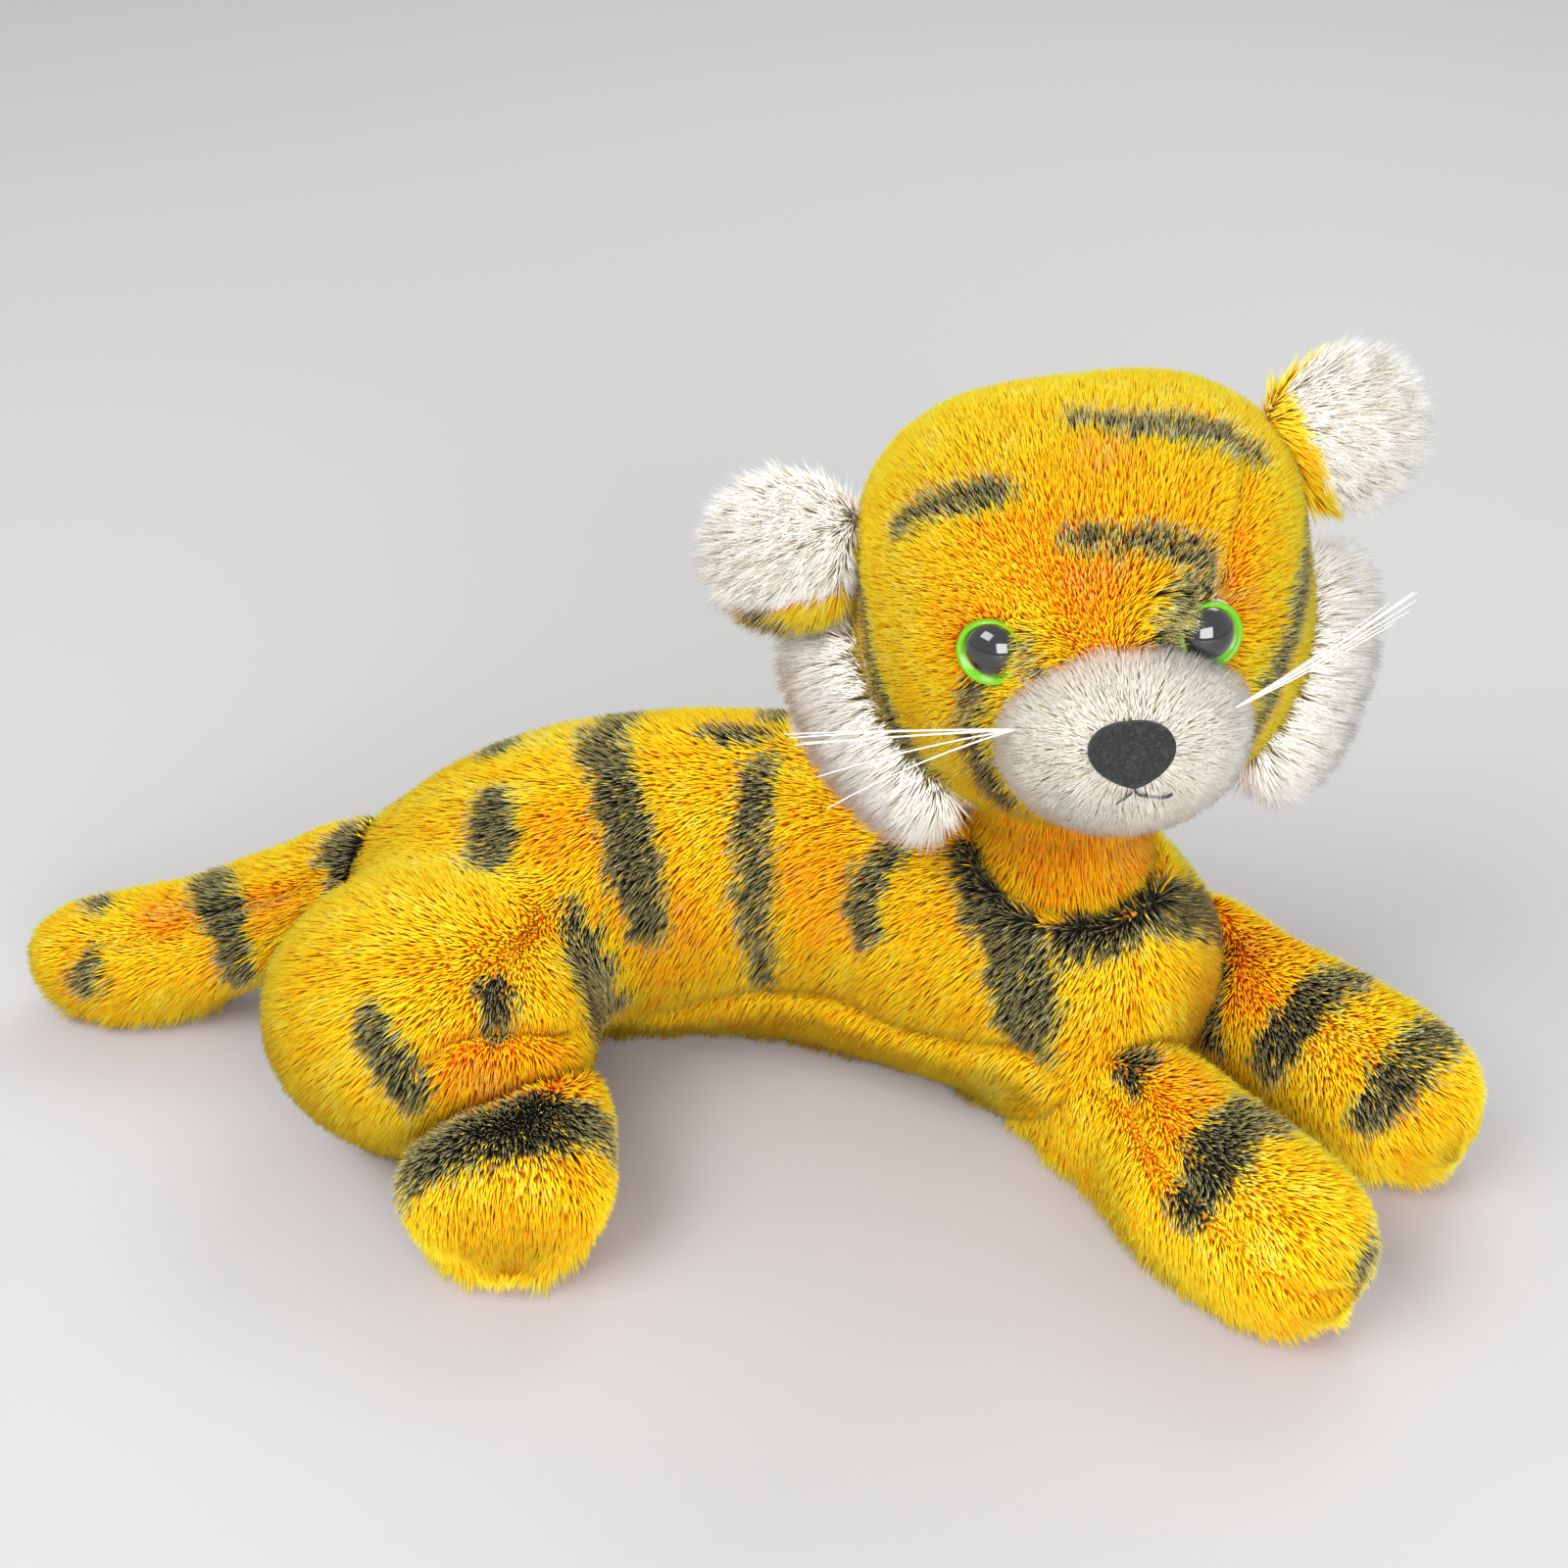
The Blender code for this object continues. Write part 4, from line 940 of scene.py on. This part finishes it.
def whisker(side, lift, sweep, long, droop):
    """One strand from the bundle's root: lift and sweep in degrees, droop in millimetres at its tip."""
    out, high, proud = WHISKER_ROOT
    root = on_muzzle(side * out - 1.0, high, proud)
    up, back = math.radians(lift), math.radians(sweep)
    points = []
    for k in range(WHISKER_STEPS + 1):
        share = k / WHISKER_STEPS
        out = long * share
        points.append((
            root[0] - out * math.sin(back),
            root[1] + side * out * math.cos(up) * math.cos(back),
            root[2] + out * math.sin(up) - droop * share * share,
            ROOT_RADIUS + (TIP_RADIUS - ROOT_RADIUS) * share,
        ))
    return points


LEFT_BUNDLE = [
    (24, 4, 37, -2), (22, 7, 38, -2), (21, 5, 37, -2), (19, 8, 36, -1), (22, 10, 33, -2), (17, 6, 32, -2),
]
RIGHT_BUNDLE = [(6, 5, 42, 2), (4.5, 8, 43, 1), (3, 4, 41, 1), (1, 7, 40, 0), (-6, 9, 38, 3), (-12, 6, 37, 5)]
for name, side, bundle in (("left", 1, LEFT_BUNDLE), ("right", -1, RIGHT_BUNDLE)):
    strands = [whisker(side, *strand) for strand in bundle]
    strand_piece(f"whisker_strands_{name}", strands, nylon, f"whiskers_{name}")

# %% [markdown]
# The lock washers behind the face stay as the CAD model has them. They are white plastic with a grain.

# %% Dress the lock washers
washer_plastic = plain_look("white_washer_plastic", (0.80, 0.80, 0.77), 0.45)[0]
mottle(washer_plastic, 500, (0.74, 0.74, 0.71), (0.84, 0.84, 0.82))
for side in ("left", "right"):
    washer = frame["nodes"][f"eye_{side}_washer"]
    washer.data.materials.clear()
    washer.data.materials.append(washer_plastic)
    print("dressed:", washer.name)

# %% [markdown]
# ## The pile
# Real pile is hair, but hair can't be exported, so each fibre tuft is a thin closed spike with three sides.
# A Geometry Nodes modifier strews points over the skin, turns each towards a leaning direction and puts a
# spike on it. Points of one small cell lean together, which makes the tufts of used plush. The skin tells
# the modifier how dense, how long and which way by attributes. Then the modifier is applied, so the pile is
# a plain mesh.


# %% Make one fibre
bm = bmesh.new()
bmesh.ops.create_cone(bm, cap_ends=True, segments=3, radius1=1, radius2=0, depth=1)
bmesh.ops.remove_doubles(bm, verts=bm.verts, dist=0.01)
bmesh.ops.translate(bm, verts=bm.verts[:], vec=(0, 0, 0.5))
bmesh.ops.recalc_face_normals(bm, faces=bm.faces[:])
fibre = add_piece("fibre", bm)
fibre.data.shade_smooth()
tip_index = max(range(4), key=lambda k: fibre.data.vertices[k].co.z)
print("fibre points:", len(fibre.data.vertices), "faces:", len(fibre.data.polygons), "tip:", tip_index)


# %% Strew, turn and place the fibres
SHORTEST, LONGEST = 0.82, 1.08
TIPS_ABOVE = 0.4 * MM


def pile_nodes(density, thick, clump, clump_pull, stray, seed):
    tree = bpy.data.node_groups.new("pile", "GeometryNodeTree")
    tree.interface.new_socket("Geometry", in_out="INPUT", socket_type="NodeSocketGeometry")
    tree.interface.new_socket("Geometry", in_out="OUTPUT", socket_type="NodeSocketGeometry")
    link = tree.links.new

    def node(kind, **values):
        item = tree.nodes.new(kind)
        for name, value in values.items():
            setattr(item, name, value)
        return item

    def named(kind, name):
        item = node("GeometryNodeInputNamedAttribute", data_type=kind)
        item.inputs["Name"].default_value = name
        return item.outputs["Attribute"]

    def vector(operation, first, second=None, scale=None):
        item = node("ShaderNodeVectorMath", operation=operation)
        link(first, item.inputs[0])
        if isinstance(second, tuple):
            item.inputs[1].default_value = second
        elif second is not None:
            link(second, item.inputs[1])
        if isinstance(scale, float):
            item.inputs["Scale"].default_value = scale
        elif scale is not None:
            link(scale, item.inputs["Scale"])
        return item.outputs["Vector"]

    def value(operation, first, second):
        item = node("ShaderNodeMath", operation=operation)
        for socket, source in zip(item.inputs, (first, second)):
            if isinstance(source, float):
                socket.default_value = source
            else:
                link(source, socket)
        return item.outputs[0]

    inlet, outlet = node("NodeGroupInput"), node("NodeGroupOutput")
    strew = node("GeometryNodeDistributePointsOnFaces")
    link(inlet.outputs[0], strew.inputs["Mesh"])
    link(named("BOOLEAN", "chosen"), strew.inputs["Selection"])
    link(value("MULTIPLY", named("FLOAT", "dense"), density), strew.inputs["Density"])
    strew.inputs["Seed"].default_value = seed
    place = node("GeometryNodeInputPosition").outputs[0]
    cell = node("ShaderNodeTexVoronoi")
    cell.inputs["Scale"].default_value = 1 / clump
    link(place, cell.inputs["Vector"])
    gather = vector("SCALE", vector("SUBTRACT", cell.outputs["Position"], place), scale=clump_pull / clump)
    grain = node("ShaderNodeTexNoise")
    grain.inputs["Scale"].default_value = 1 / (2.6 * clump)
    grain.inputs["Detail"].default_value = 3.0
    link(place, grain.inputs["Vector"])
    drift = vector("SCALE", vector("SUBTRACT", grain.outputs["Color"], (0.5, 0.5, 0.5)), scale=stray * 2)
    chance = node("FunctionNodeRandomValue", data_type="FLOAT_VECTOR")
    chance.inputs[0].default_value = (-stray, -stray, -stray)
    chance.inputs[1].default_value = (stray, stray, stray)
    lean = vector("ADD", strew.outputs["Normal"], named("FLOAT_VECTOR", "comb"))
    lean, drift = vector("ADD", lean, gather), vector("ADD", drift, chance.outputs[0])
    lean = vector("NORMALIZE", vector("ADD", lean, drift))
    change = node("FunctionNodeRandomValue", data_type="FLOAT")
    change.inputs[2].default_value, change.inputs[3].default_value = SHORTEST, LONGEST
    change.inputs["Seed"].default_value = 7
    long = value("MULTIPLY", named("FLOAT", "long"), change.outputs[1])
    parts, root = node("ShaderNodeSeparateXYZ"), node("ShaderNodeSeparateXYZ")
    link(lean, parts.inputs[0])
    link(place, root.inputs[0])
    lowest = value("DIVIDE", value("SUBTRACT", TIPS_ABOVE, root.outputs["Z"]), long)
    rise = value("MINIMUM", value("MAXIMUM", parts.outputs["Z"], lowest), 0.999)
    level, upright = node("ShaderNodeCombineXYZ"), node("ShaderNodeCombineXYZ")
    link(value("ADD", parts.outputs["X"], 0.001), level.inputs["X"])
    link(parts.outputs["Y"], level.inputs["Y"])
    link(rise, upright.inputs["Z"])
    aside = value("SQRT", value("SUBTRACT", 1.0, value("MULTIPLY", rise, rise)), 0.0)
    aside = vector("SCALE", vector("NORMALIZE", level.outputs[0]), scale=aside)
    turn = node("FunctionNodeAlignRotationToVector", axis="Z")
    link(vector("ADD", aside, upright.outputs[0]), turn.inputs["Vector"])
    size = node("ShaderNodeCombineXYZ")
    size.inputs["X"].default_value = size.inputs["Y"].default_value = thick
    link(long, size.inputs["Z"])
    source = node("GeometryNodeObjectInfo")
    source.inputs["Object"].default_value = fibre
    put = node("GeometryNodeInstanceOnPoints")
    link(strew.outputs["Points"], put.inputs["Points"])
    link(source.outputs["Geometry"], put.inputs["Instance"])
    link(turn.outputs[0], put.inputs["Rotation"])
    link(size.outputs[0], put.inputs["Scale"])
    real = node("GeometryNodeRealizeInstances")
    link(put.outputs[0], real.inputs[0])
    link(real.outputs[0], outlet.inputs[0])
    return tree


# %% Grow the pile of one part
def face_middles(skin):
    middles = np.empty(len(skin.data.polygons) * 3)
    skin.data.polygons.foreach_get("center", middles)
    return middles.reshape(-1, 3)


def store(mesh, name, kind, domain, values):
    layer = mesh.attributes.get(name) or mesh.attributes.new(name, kind, domain)
    field = "vector" if kind == "FLOAT_VECTOR" else "value"
    layer.data.foreach_set(field, np.ascontiguousarray(values).ravel())


CHART_PIXEL = 1 / 1024


def chart_pile(mesh, tone_of, seed):
    """Lays each fibre on the colour chart by where its upper half is."""
    points = np.empty(len(mesh.vertices) * 3)
    mesh.vertices.foreach_get("co", points)
    fibres = points.reshape(-1, 4, 3)
    tips = fibres[:, tip_index]
    roots = (fibres.sum(axis=1) - tips) / 3
    tone = np.clip(tone_of(roots + 0.7 * (tips - roots), seed), 0.01, 0.99)
    corners = np.empty(len(mesh.loops), np.int32)
    mesh.loops.foreach_get("vertex_index", corners)
    wide = np.tile([-1, 1, 0], len(corners) // 3) * CHART_PIXEL
    across = tone[corners // 4] + wide
    up = np.where(corners % 4 == tip_index, 0.98, 0.02) + np.tile([0, 0, 0.01], len(corners) // 3)
    layer = mesh.uv_layers.new(name="OFBake")
    layer.data.foreach_set("uv", np.stack([across, up], axis=1).ravel().astype(np.float32))


def grow_pile(name, skin, body, look, tone_of, chosen, density, thick, clump, pull, stray, seed):
    store(skin.data, "chosen", "BOOLEAN", "FACE", chosen)
    pile = bpy.data.objects.new(name, skin.data.copy())
    bpy.context.scene.collection.objects.link(pile)
    grow = pile.modifiers.new("pile", "NODES")
    grow.node_group = pile_nodes(density, thick, clump, pull, stray, seed)
    apply_modifiers(pile)
    attributes = pile.data.attributes
    for layer in [name for name in ("comb", "long", "dense", "tone") if name in attributes]:
        attributes.remove(attributes[layer])
    chart_pile(pile.data, tone_of, seed)
    pile.data.materials.clear()
    pile.data.materials.append(look)
    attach(pile, body)
    print(name, "fibres:", len(pile.data.vertices) // 4)


# %% [markdown]
# Where two parts are sewn together, the stuffing fills the corner between them and the cloth runs over
# smoothly. That could be carved by hand, but the joints are many, so a skin is raised, smoothed or drawn on
# to its neighbour by its distance from it. Fibres that would grow inside a neighbour are left out: there
# two parts press on each other.

# %% Smooth the joints between the parts
shapes = {label: tree_of(skin) for label, skin in skins.items()}
OFF_TABLE = 3 * MM


def fill_joints(label, others, reach, most):
    """Raises a skin a little beside its neighbours, as the stuffing fills the corner between two parts."""
    points, normals = skin_points(skins[label])
    for k, point in enumerate(points):
        if point[2] < OFF_TABLE:
            continue
        gap = min(shapes[other].find_nearest(Vector(point))[3] for other in others)
        share = max(1 - gap / reach, 0)
        points[k] = point + normals[k] * most * share * share
    move_points(skins[label], points)


def covered(label, points, depth):
    """True where a point lies deeper than depth inside another part's skin."""
    inside = np.zeros(len(points), bool)
    ahead = Vector((0.31, 0.17, 0.94)).normalized()
    for other, shape in shapes.items():
        if other == label:
            continue
        around, _ = skin_points(skins[other])
        near_box = ((points > around.min(axis=0)) & (points < around.max(axis=0))).all(axis=1)
        for k in np.nonzero(~inside & near_box)[0]:
            spot = Vector(points[k])
            if shape.find_nearest(spot)[3] < depth:
                continue
            crossings, start = 0, spot
            while crossings < 20:
                hit = shape.ray_cast(start, ahead)[0]
                if hit is None:
                    break
                crossings, start = crossings + 1, hit + ahead * 0.01 * MM
            inside[k] = crossings % 2
    return inside


def round_root(label, reach=12 * MM, times=16):
    """Smooths the root of a limb, where the CAD form ends in a sharp lip against the body."""
    bm = bmesh.new()
    bm.from_mesh(skins[label].data)
    root = [v for v in bm.verts if v.co.z > OFF_TABLE and shapes["body"].find_nearest(v.co)[3] < reach]
    smooth(bm, root, times)
    bm.to_mesh(skins[label].data)
    bm.free()


SETTLED = 0.85


def settle_root(label, onto="body", reach=11 * MM, power=1.5):
    """Draws the root of a part on to another, so that it runs out smoothly at their seam."""
    points = skin_points(skins[label])[0]
    for k, point in enumerate(points):
        spot, out, _, gap = shapes[onto].find_nearest(Vector(point))
        if gap < reach and (Vector(point) - spot).dot(out) > 0 and point[2] > OFF_TABLE:
            points[k] = point + (np.array(spot) - point) * SETTLED * (1 - gap / reach) ** power
    move_points(skins[label], points)


LIMBS = ["front_leg_left", "front_leg_right", "hind_foot_left", "hind_foot_right", "tail", "neck"]
for label in LIMBS:
    round_root(label)
    settle_root(label)
fill_joints("body", LIMBS, 12 * MM, 4.5 * MM)
for side in ("left", "right"):
    settle_root(f"cheek_ruff_{side}", "head", 10 * MM, 0.6)
for label in ["body", "cheek_ruff_left", "cheek_ruff_right"] + LIMBS:
    shapes[label] = tree_of(skins[label])
print("joined to the body:", LIMBS)

# %% [markdown]
# Each part's pile lies another way: along the body it is combed to the rump and down, on the legs and the
# tail to their ends, and on the head away from the nose. White pile stands up more. Beside a seam the pile
# is short and parts, and along the lower hem, where it meets the table, it is longer and stands off.

# %% Comb the pile of the body and the limbs
SEAM_PARTING, SEAM_SHORTER = 2.5, 0.6
HEM_AT, HEM_WIDE, HEM_GROWTH, HEM_UPRIGHT = 5 * MM, 4 * MM, 0.7, 0.35
UNDERSIDE, UNDERSIDE_PILE = 1.5 * MM, 0.15


def comb(label, directions, lean, long, bare=None, denser=0):
    """Directions are laid flat on the skin. Lean 1 is 45 degrees. The pile is longer along the lower hem."""
    points, normals = skin_points(skins[label])
    directions = directions + 0 * points
    directions = directions / np.maximum(np.linalg.norm(directions, axis=1, keepdims=True), 1e-9)
    part = beside_seam(label, points)
    directions = directions + SEAM_PARTING * from_seam(label, points) * part[:, None]
    flat = directions - (directions * normals).sum(axis=1, keepdims=True) * normals
    flat /= np.maximum(np.linalg.norm(flat, axis=1, keepdims=True), 0.05)
    long = long * (1 - SEAM_SHORTER * part)
    hem = np.exp(-(((points[:, 2] - HEM_AT) / HEM_WIDE) ** 2))
    long = long * (1 + hem * (HEM_GROWTH + 0.3 * uneven(points, 3.5 * MM, 12)))
    lean = lean * (1 - HEM_UPRIGHT * hem[:, None])
    dense = np.where(points[:, 2] < UNDERSIDE, UNDERSIDE_PILE, 1.0)
    dense *= 1 + denser
    if bare is not None:
        dense[bare] = 0
    mesh = skins[label].data
    store(mesh, "comb", "FLOAT_VECTOR", "POINT", flat * lean)
    store(mesh, "long", "FLOAT", "POINT", long)
    store(mesh, "dense", "FLOAT", "POINT", dense)


def to_world(part, direction):
    return np.array(PLACES[part].to_3x3() @ Vector(direction))


BODY_PILE, BODY_LEAN = 4.4 * MM, 1.05
DOWN = np.array((0, 0, -1.0))
comb("body", -0.6 * spine_heading(skin_points(skins["body"])[0]) + 0.8 * DOWN, BODY_LEAN, BODY_PILE)
for side in ("left", "right"):
    for label, part in ((f"front_leg_{side}", f"leg_{side}"), (f"hind_foot_{side}", f"foot_{side}")):
        comb(label, to_world(part, (1, 0, 0)) + 0.5 * DOWN, BODY_LEAN, BODY_PILE)
comb("tail", to_world("tail", (1, 0, 0)) + 0.2 * DOWN, BODY_LEAN, BODY_PILE)
comb("neck", DOWN, 1.0, BODY_PILE)
print("body pile in mm:", BODY_PILE / MM)

# %% Comb the head, the muzzle, the ears and the ruffs
EYES = {"left": eye_place(1).translation, "right": eye_place(-1).translation}
EYE_ROOM = 6.6 * MM
NOSE = np.array(sum(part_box("nose_felt"), Vector()) / 2)


def away_from_eyes(points, directions):
    """On the outer side of an eye the pile is combed round it. On the inner side it hangs over the rim."""
    turned = directions / np.linalg.norm(directions, axis=1, keepdims=True)
    for eye in EYES.values():
        out = points - np.array(eye)
        far = np.linalg.norm(out, axis=1, keepdims=True)
        outer = np.clip((out * turned).sum(axis=1, keepdims=True) / far * 2 + 0.6, 0, 1)
        share = np.clip((13 * MM - far) / (6 * MM), 0, 1) * outer
        turned = turned * (1 - share) + out / far * share
    return turned


head_up = to_world("head", (0, 0, 1))
RIM_TUFT = 8.5 * MM


def inward_from(side, other):
    """The way from one eye to the other."""
    between = np.array(EYES[other]) - np.array(EYES[side])
    return between / np.linalg.norm(between)


def over_rims(points, pairs=(("left", "right", -4.5), ("right", "left", 2.0))):
    """1 on the inner side of an eye, where long pile covers the green rim, and the way it is combed."""
    share, way = np.zeros(len(points)), np.zeros((len(points), 3))
    for side, other, below in pairs:
        eye, inward = np.array(EYES[side]), inward_from(side, other)
        middle = eye + RIM_TUFT * inward - below * MM * head_up
        near = np.exp(-((np.linalg.norm(points - middle, axis=1) / (6 * MM)) ** 2))
        way = np.where((near > share)[:, None], eye - points, way)
        share = np.maximum(share, near)
    return share[:, None], way / np.maximum(np.linalg.norm(way, axis=1, keepdims=True), 1e-9)


EAR_RIM = {1: ((-0.92, -0.38), 0.50), -1: ((0.15, -0.99), 0.62)}


def past_rim(points, sign):
    """Positive where an ear shows its yellow panel past the edge of the white one."""
    turn = np.array(PLACES["head"].inverted().to_3x3())
    local = (points @ turn.T)[:, 1:]
    half = (local.max(axis=0) - local.min(axis=0)) / 2
    way, limit = EAR_RIM[sign]
    return (local - local.min(axis=0) - half) / half @ np.array(way) - limit


def gaps_to(label, points):
    return np.array([shapes[label].find_nearest(Vector(point))[3] for point in points])


points = skin_points(skins["head"])[0]
bare = np.zeros(len(points), bool)
for side, other in (("left", "right"), ("right", "left")):
    middle = np.array(EYES[side]) - 1.0 * MM * inward_from(side, other) - 0.8 * MM * head_up
    bare |= np.linalg.norm(points - middle, axis=1) < EYE_ROOM
over, way = over_rims(points)
beside_ruffs = np.minimum(gaps_to("cheek_ruff_left", points), gaps_to("cheek_ruff_right", points))
long = 3.2 + 3.8 * over[:, 0] + 5.0 * np.clip(1.15 - beside_ruffs / (9 * MM), 0, 1)
directions = away_from_eyes(points, points - NOSE) * (1 - over) + way * over
comb("head", directions, 0.72 - 0.2 * over, long * MM, bare, over[:, 0])
points = skin_points(skins["muzzle"])[0]
over, way = over_rims(points, (("left", "right", 6),))
rim = np.maximum(1 - gaps_to("head", points) / (6 * MM), 0)
long = 3.4 + 3.0 * over[:, 0] + 3.6 * rim + 1.2 * rim * uneven(points, 4 * MM, 21)
directions = (points - NOSE) / (20 * MM) * (1 - over) + way * over
comb("muzzle", directions, 1.05 - 0.3 * over, long * MM, None, 0.3 * rim)
for side, sign in (("left", 1), ("right", -1)):
    points, normals = skin_points(skins[f"ear_{side}"])
    middle = np.array(sum(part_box(f"ear_{side}_front"), Vector()) / 2)
    out = to_world("head", (0.1, sign, -0.15))
    front = np.clip(normals @ to_world("head", (1, 0, 0)) + 0.6, 0, 1)
    past = past_rim(points, sign)
    long = np.where(past > 0, 6.5, 2.6 + 4.4 * front - 2.4 * np.clip(1 + past / 0.2, 0, 1))
    comb(f"ear_{side}", (points - middle) / (22 * MM) + out, 1.2, long * MM)
    ruff = f"cheek_ruff_{side}"
    out = to_world("head", (-0.35, 0.95 * sign, -0.45))
    lean = np.clip(gaps_to("head", skin_points(skins[ruff])[0]) / (9 * MM), 0.08, 1)[:, None] * 1.6
    comb(ruff, out, lean, 8 * MM)
print("combed parts:", len(skins))

# %% [markdown]
# A fibre's tone is uneven yellow, warmer near some spots where the real toy is dyed orange, and dark inside
# a stripe. At a stripe's edge some fibres are grey-green, and a few yellow ones are left in its core. The
# tone is worked out for each fibre instead of painted, so the edges break up into single hairs.

# %% Choose the tone of each fibre
WARM_SPOTS = {
    "body": [("spine", -20, -28, 45, 14), ("spine", 17, -26, 58, 12), ("spine", -50, -20, 62, 10),
             ("spine", 60, -10, 70, 16), ("spine", -62, -69, 36, 9), ("spine", -50, -62, 32, 9)],
    "hind_foot_right": [("foot_right", 18, 8, 32, 15), ("foot_right", 24, -10, 30, 9)],
    "front_leg_left": [("leg_left", 34, -8, 34, 15)],
    "front_leg_right": [("leg_right", 48, 2, 36, 10)],
    "tail": [("tail", 35, 8, 36, 10), ("tail", 62, 6, 30, 8)],
    "head": [("head", 38, 2, 19, 17), ("head", 36, -29, 10, 8), ("head", 36, 25, 14, 9),
             ("head", 24, 0, 36, 9), ("head", 24, 0, -38, 16)],
    "neck": [("spine", 70, 0, 80, 30)],
}


def striped_tone(label):
    stripes = STRIPES.get(label, [])
    warm = [(np.array(on_part(part, x, y, z)), far * MM) for part, x, y, z, far in WARM_SPOTS.get(label, [])]

    def tone_of(points, seed):
        draw = np.random.default_rng(seed)
        tone = 0.70 + 0.07 * uneven(points, 11 * MM, 1) + 0.06 * uneven(points, 3.5 * MM, 2)
        tone += 0.04 * uneven(points, 1.6 * MM, 6) + draw.normal(0, 0.025, len(points))
        for middle, far in warm:
            tone -= 0.30 * np.exp(-((np.linalg.norm(points - middle, axis=1) / far) ** 2))
        # Fibres low by the table get a more orange tone: painted shade, the warm shade low on the toy.
        tone -= 0.10 * np.exp(-((points[:, 2] / (16 * MM)) ** 2))
        tone = np.clip(tone, ORANGE_TONE - 0.04, 0.99)
        if stripes:
            past = beyond_lines(points, stripes) - 0.5 * MM
            past += 0.9 * MM * uneven(points, 4 * MM, 3) + draw.normal(0, 0.9 * MM, len(points))
            fringe = (past < 1.8 * MM) & (draw.uniform(size=len(points)) < 0.6)
            tone[fringe] = draw.uniform(0.15, 0.28, fringe.sum())
            worn = 0.04 + 0.16 * np.clip(uneven(points, 14 * MM, 8), 0, 1)
            core = (past < 0) & (draw.uniform(size=len(points)) > worn)
            tone[core] = draw.uniform(0.0, 0.12, core.sum())
        return tone

    return tone_of


def ear_back(label, sign):
    """True for the faces of an ear's yellow back panel, which also shows along its inner rim."""
    faces = skins[label].data.polygons
    rim = (-0.2, -0.9, 0.35) if sign > 0 else (-0.3, 0.1, -0.95)
    ahead, inward = to_world("head", (1, 0, 0)), to_world("head", rim)
    facing = np.empty(len(faces) * 3)
    faces.foreach_get("normal", facing)
    facing = facing.reshape(-1, 3)
    past = past_rim(face_middles(skins[label]), sign)
    return (facing @ ahead < -0.3) | (facing @ inward > 0.35) | (past > 0)


def white_tone(points, seed):
    draw = np.random.default_rng(seed)
    return 0.62 + 0.12 * uneven(points, 7 * MM, 4) + draw.normal(0, 0.10, len(points))


# %% Grow all the pile
DENSITY = 2.55e6
BURIED = {"white_plush_fibre": 3.0 * MM, "striped_plush_fibre": 1.0 * MM}


def grow_part(label, body, slot, look, tone_of, parts=1, density=DENSITY, thick=0.33 * MM, clump=2.2 * MM,
              pull=0.15, stray=0.16, only=None, suffix=""):
    """Covers a skin, or the faces that only chooses, and cuts the pile into parts of about as many fibres."""
    skin = skins[label]
    middles = face_middles(skin)
    hidden = covered(label, middles, BURIED[look.name])
    edges = np.quantile(middles[~hidden, 0], np.linspace(0, 1, parts + 1))
    edges[0], edges[-1] = -1, 1
    if not suffix:
        store(skin.data, "tone", "FLOAT", "POINT", np.clip(tone_of(skin_points(skin)[0], 5), 0, 1))
        skin.data.materials.clear()
        skin.data.materials.append(white_backing if look is white_plush else striped_backing)
    for k in range(parts):
        chosen = ~hidden & (middles[:, 0] >= edges[k]) & (middles[:, 0] < edges[k + 1])
        if only is not None:
            chosen &= only
        name = f"{label}_pile{suffix}" + (f"_{k + 1}" if parts > 1 else "")
        grow_pile(name, skin, body, look, tone_of, chosen, density, thick, clump, pull, stray, 11 + k)


def grow_striped(label, body, slot="yellow_plush", **how):
    grow_part(label, body, slot, striped_plush, striped_tone(label), **how)


def grow_white(label, body, **how):
    grow_part(label, body, "white_plush", white_plush, white_tone, **how)


grow_striped("body", "torso", parts=4)
for label in ("hind_foot_left", "front_leg_left", "hind_foot_right", "front_leg_right", "tail"):
    grow_striped(label, label)
grow_striped("neck", "neck", slot="orange_plush", density=1.8e6)
grow_striped("head", "head", parts=3, density=4.4e6, thick=0.22 * MM, clump=1.8 * MM, pull=0.2, stray=0.22)
grow_white("muzzle", "head", density=9.5e6, thick=0.16 * MM, clump=2.4 * MM, pull=0.3, stray=0.26)
for side, sign in (("left", 1), ("right", -1)):
    ear = f"ear_{side}"
    yellow = ear_back(ear, sign)
    grow_white(ear, ear, density=10e6, thick=0.17 * MM, clump=3.2 * MM, pull=0.55, stray=0.45, only=~yellow)
    grow_striped(ear, ear, density=8e6, thick=0.18 * MM, only=yellow, suffix="_back")
    grow_white(f"cheek_ruff_{side}", "head", density=8e6, thick=0.2 * MM, clump=3.5 * MM, pull=0.3, stray=0.2)
bpy.data.objects.remove(fibre)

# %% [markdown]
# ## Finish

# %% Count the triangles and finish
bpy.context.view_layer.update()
meshes = [item.data for item in bpy.data.objects if item.type == "MESH"]
print("total triangles:", sum(len(mesh.loops) - 2 * len(mesh.polygons) for mesh in meshes))
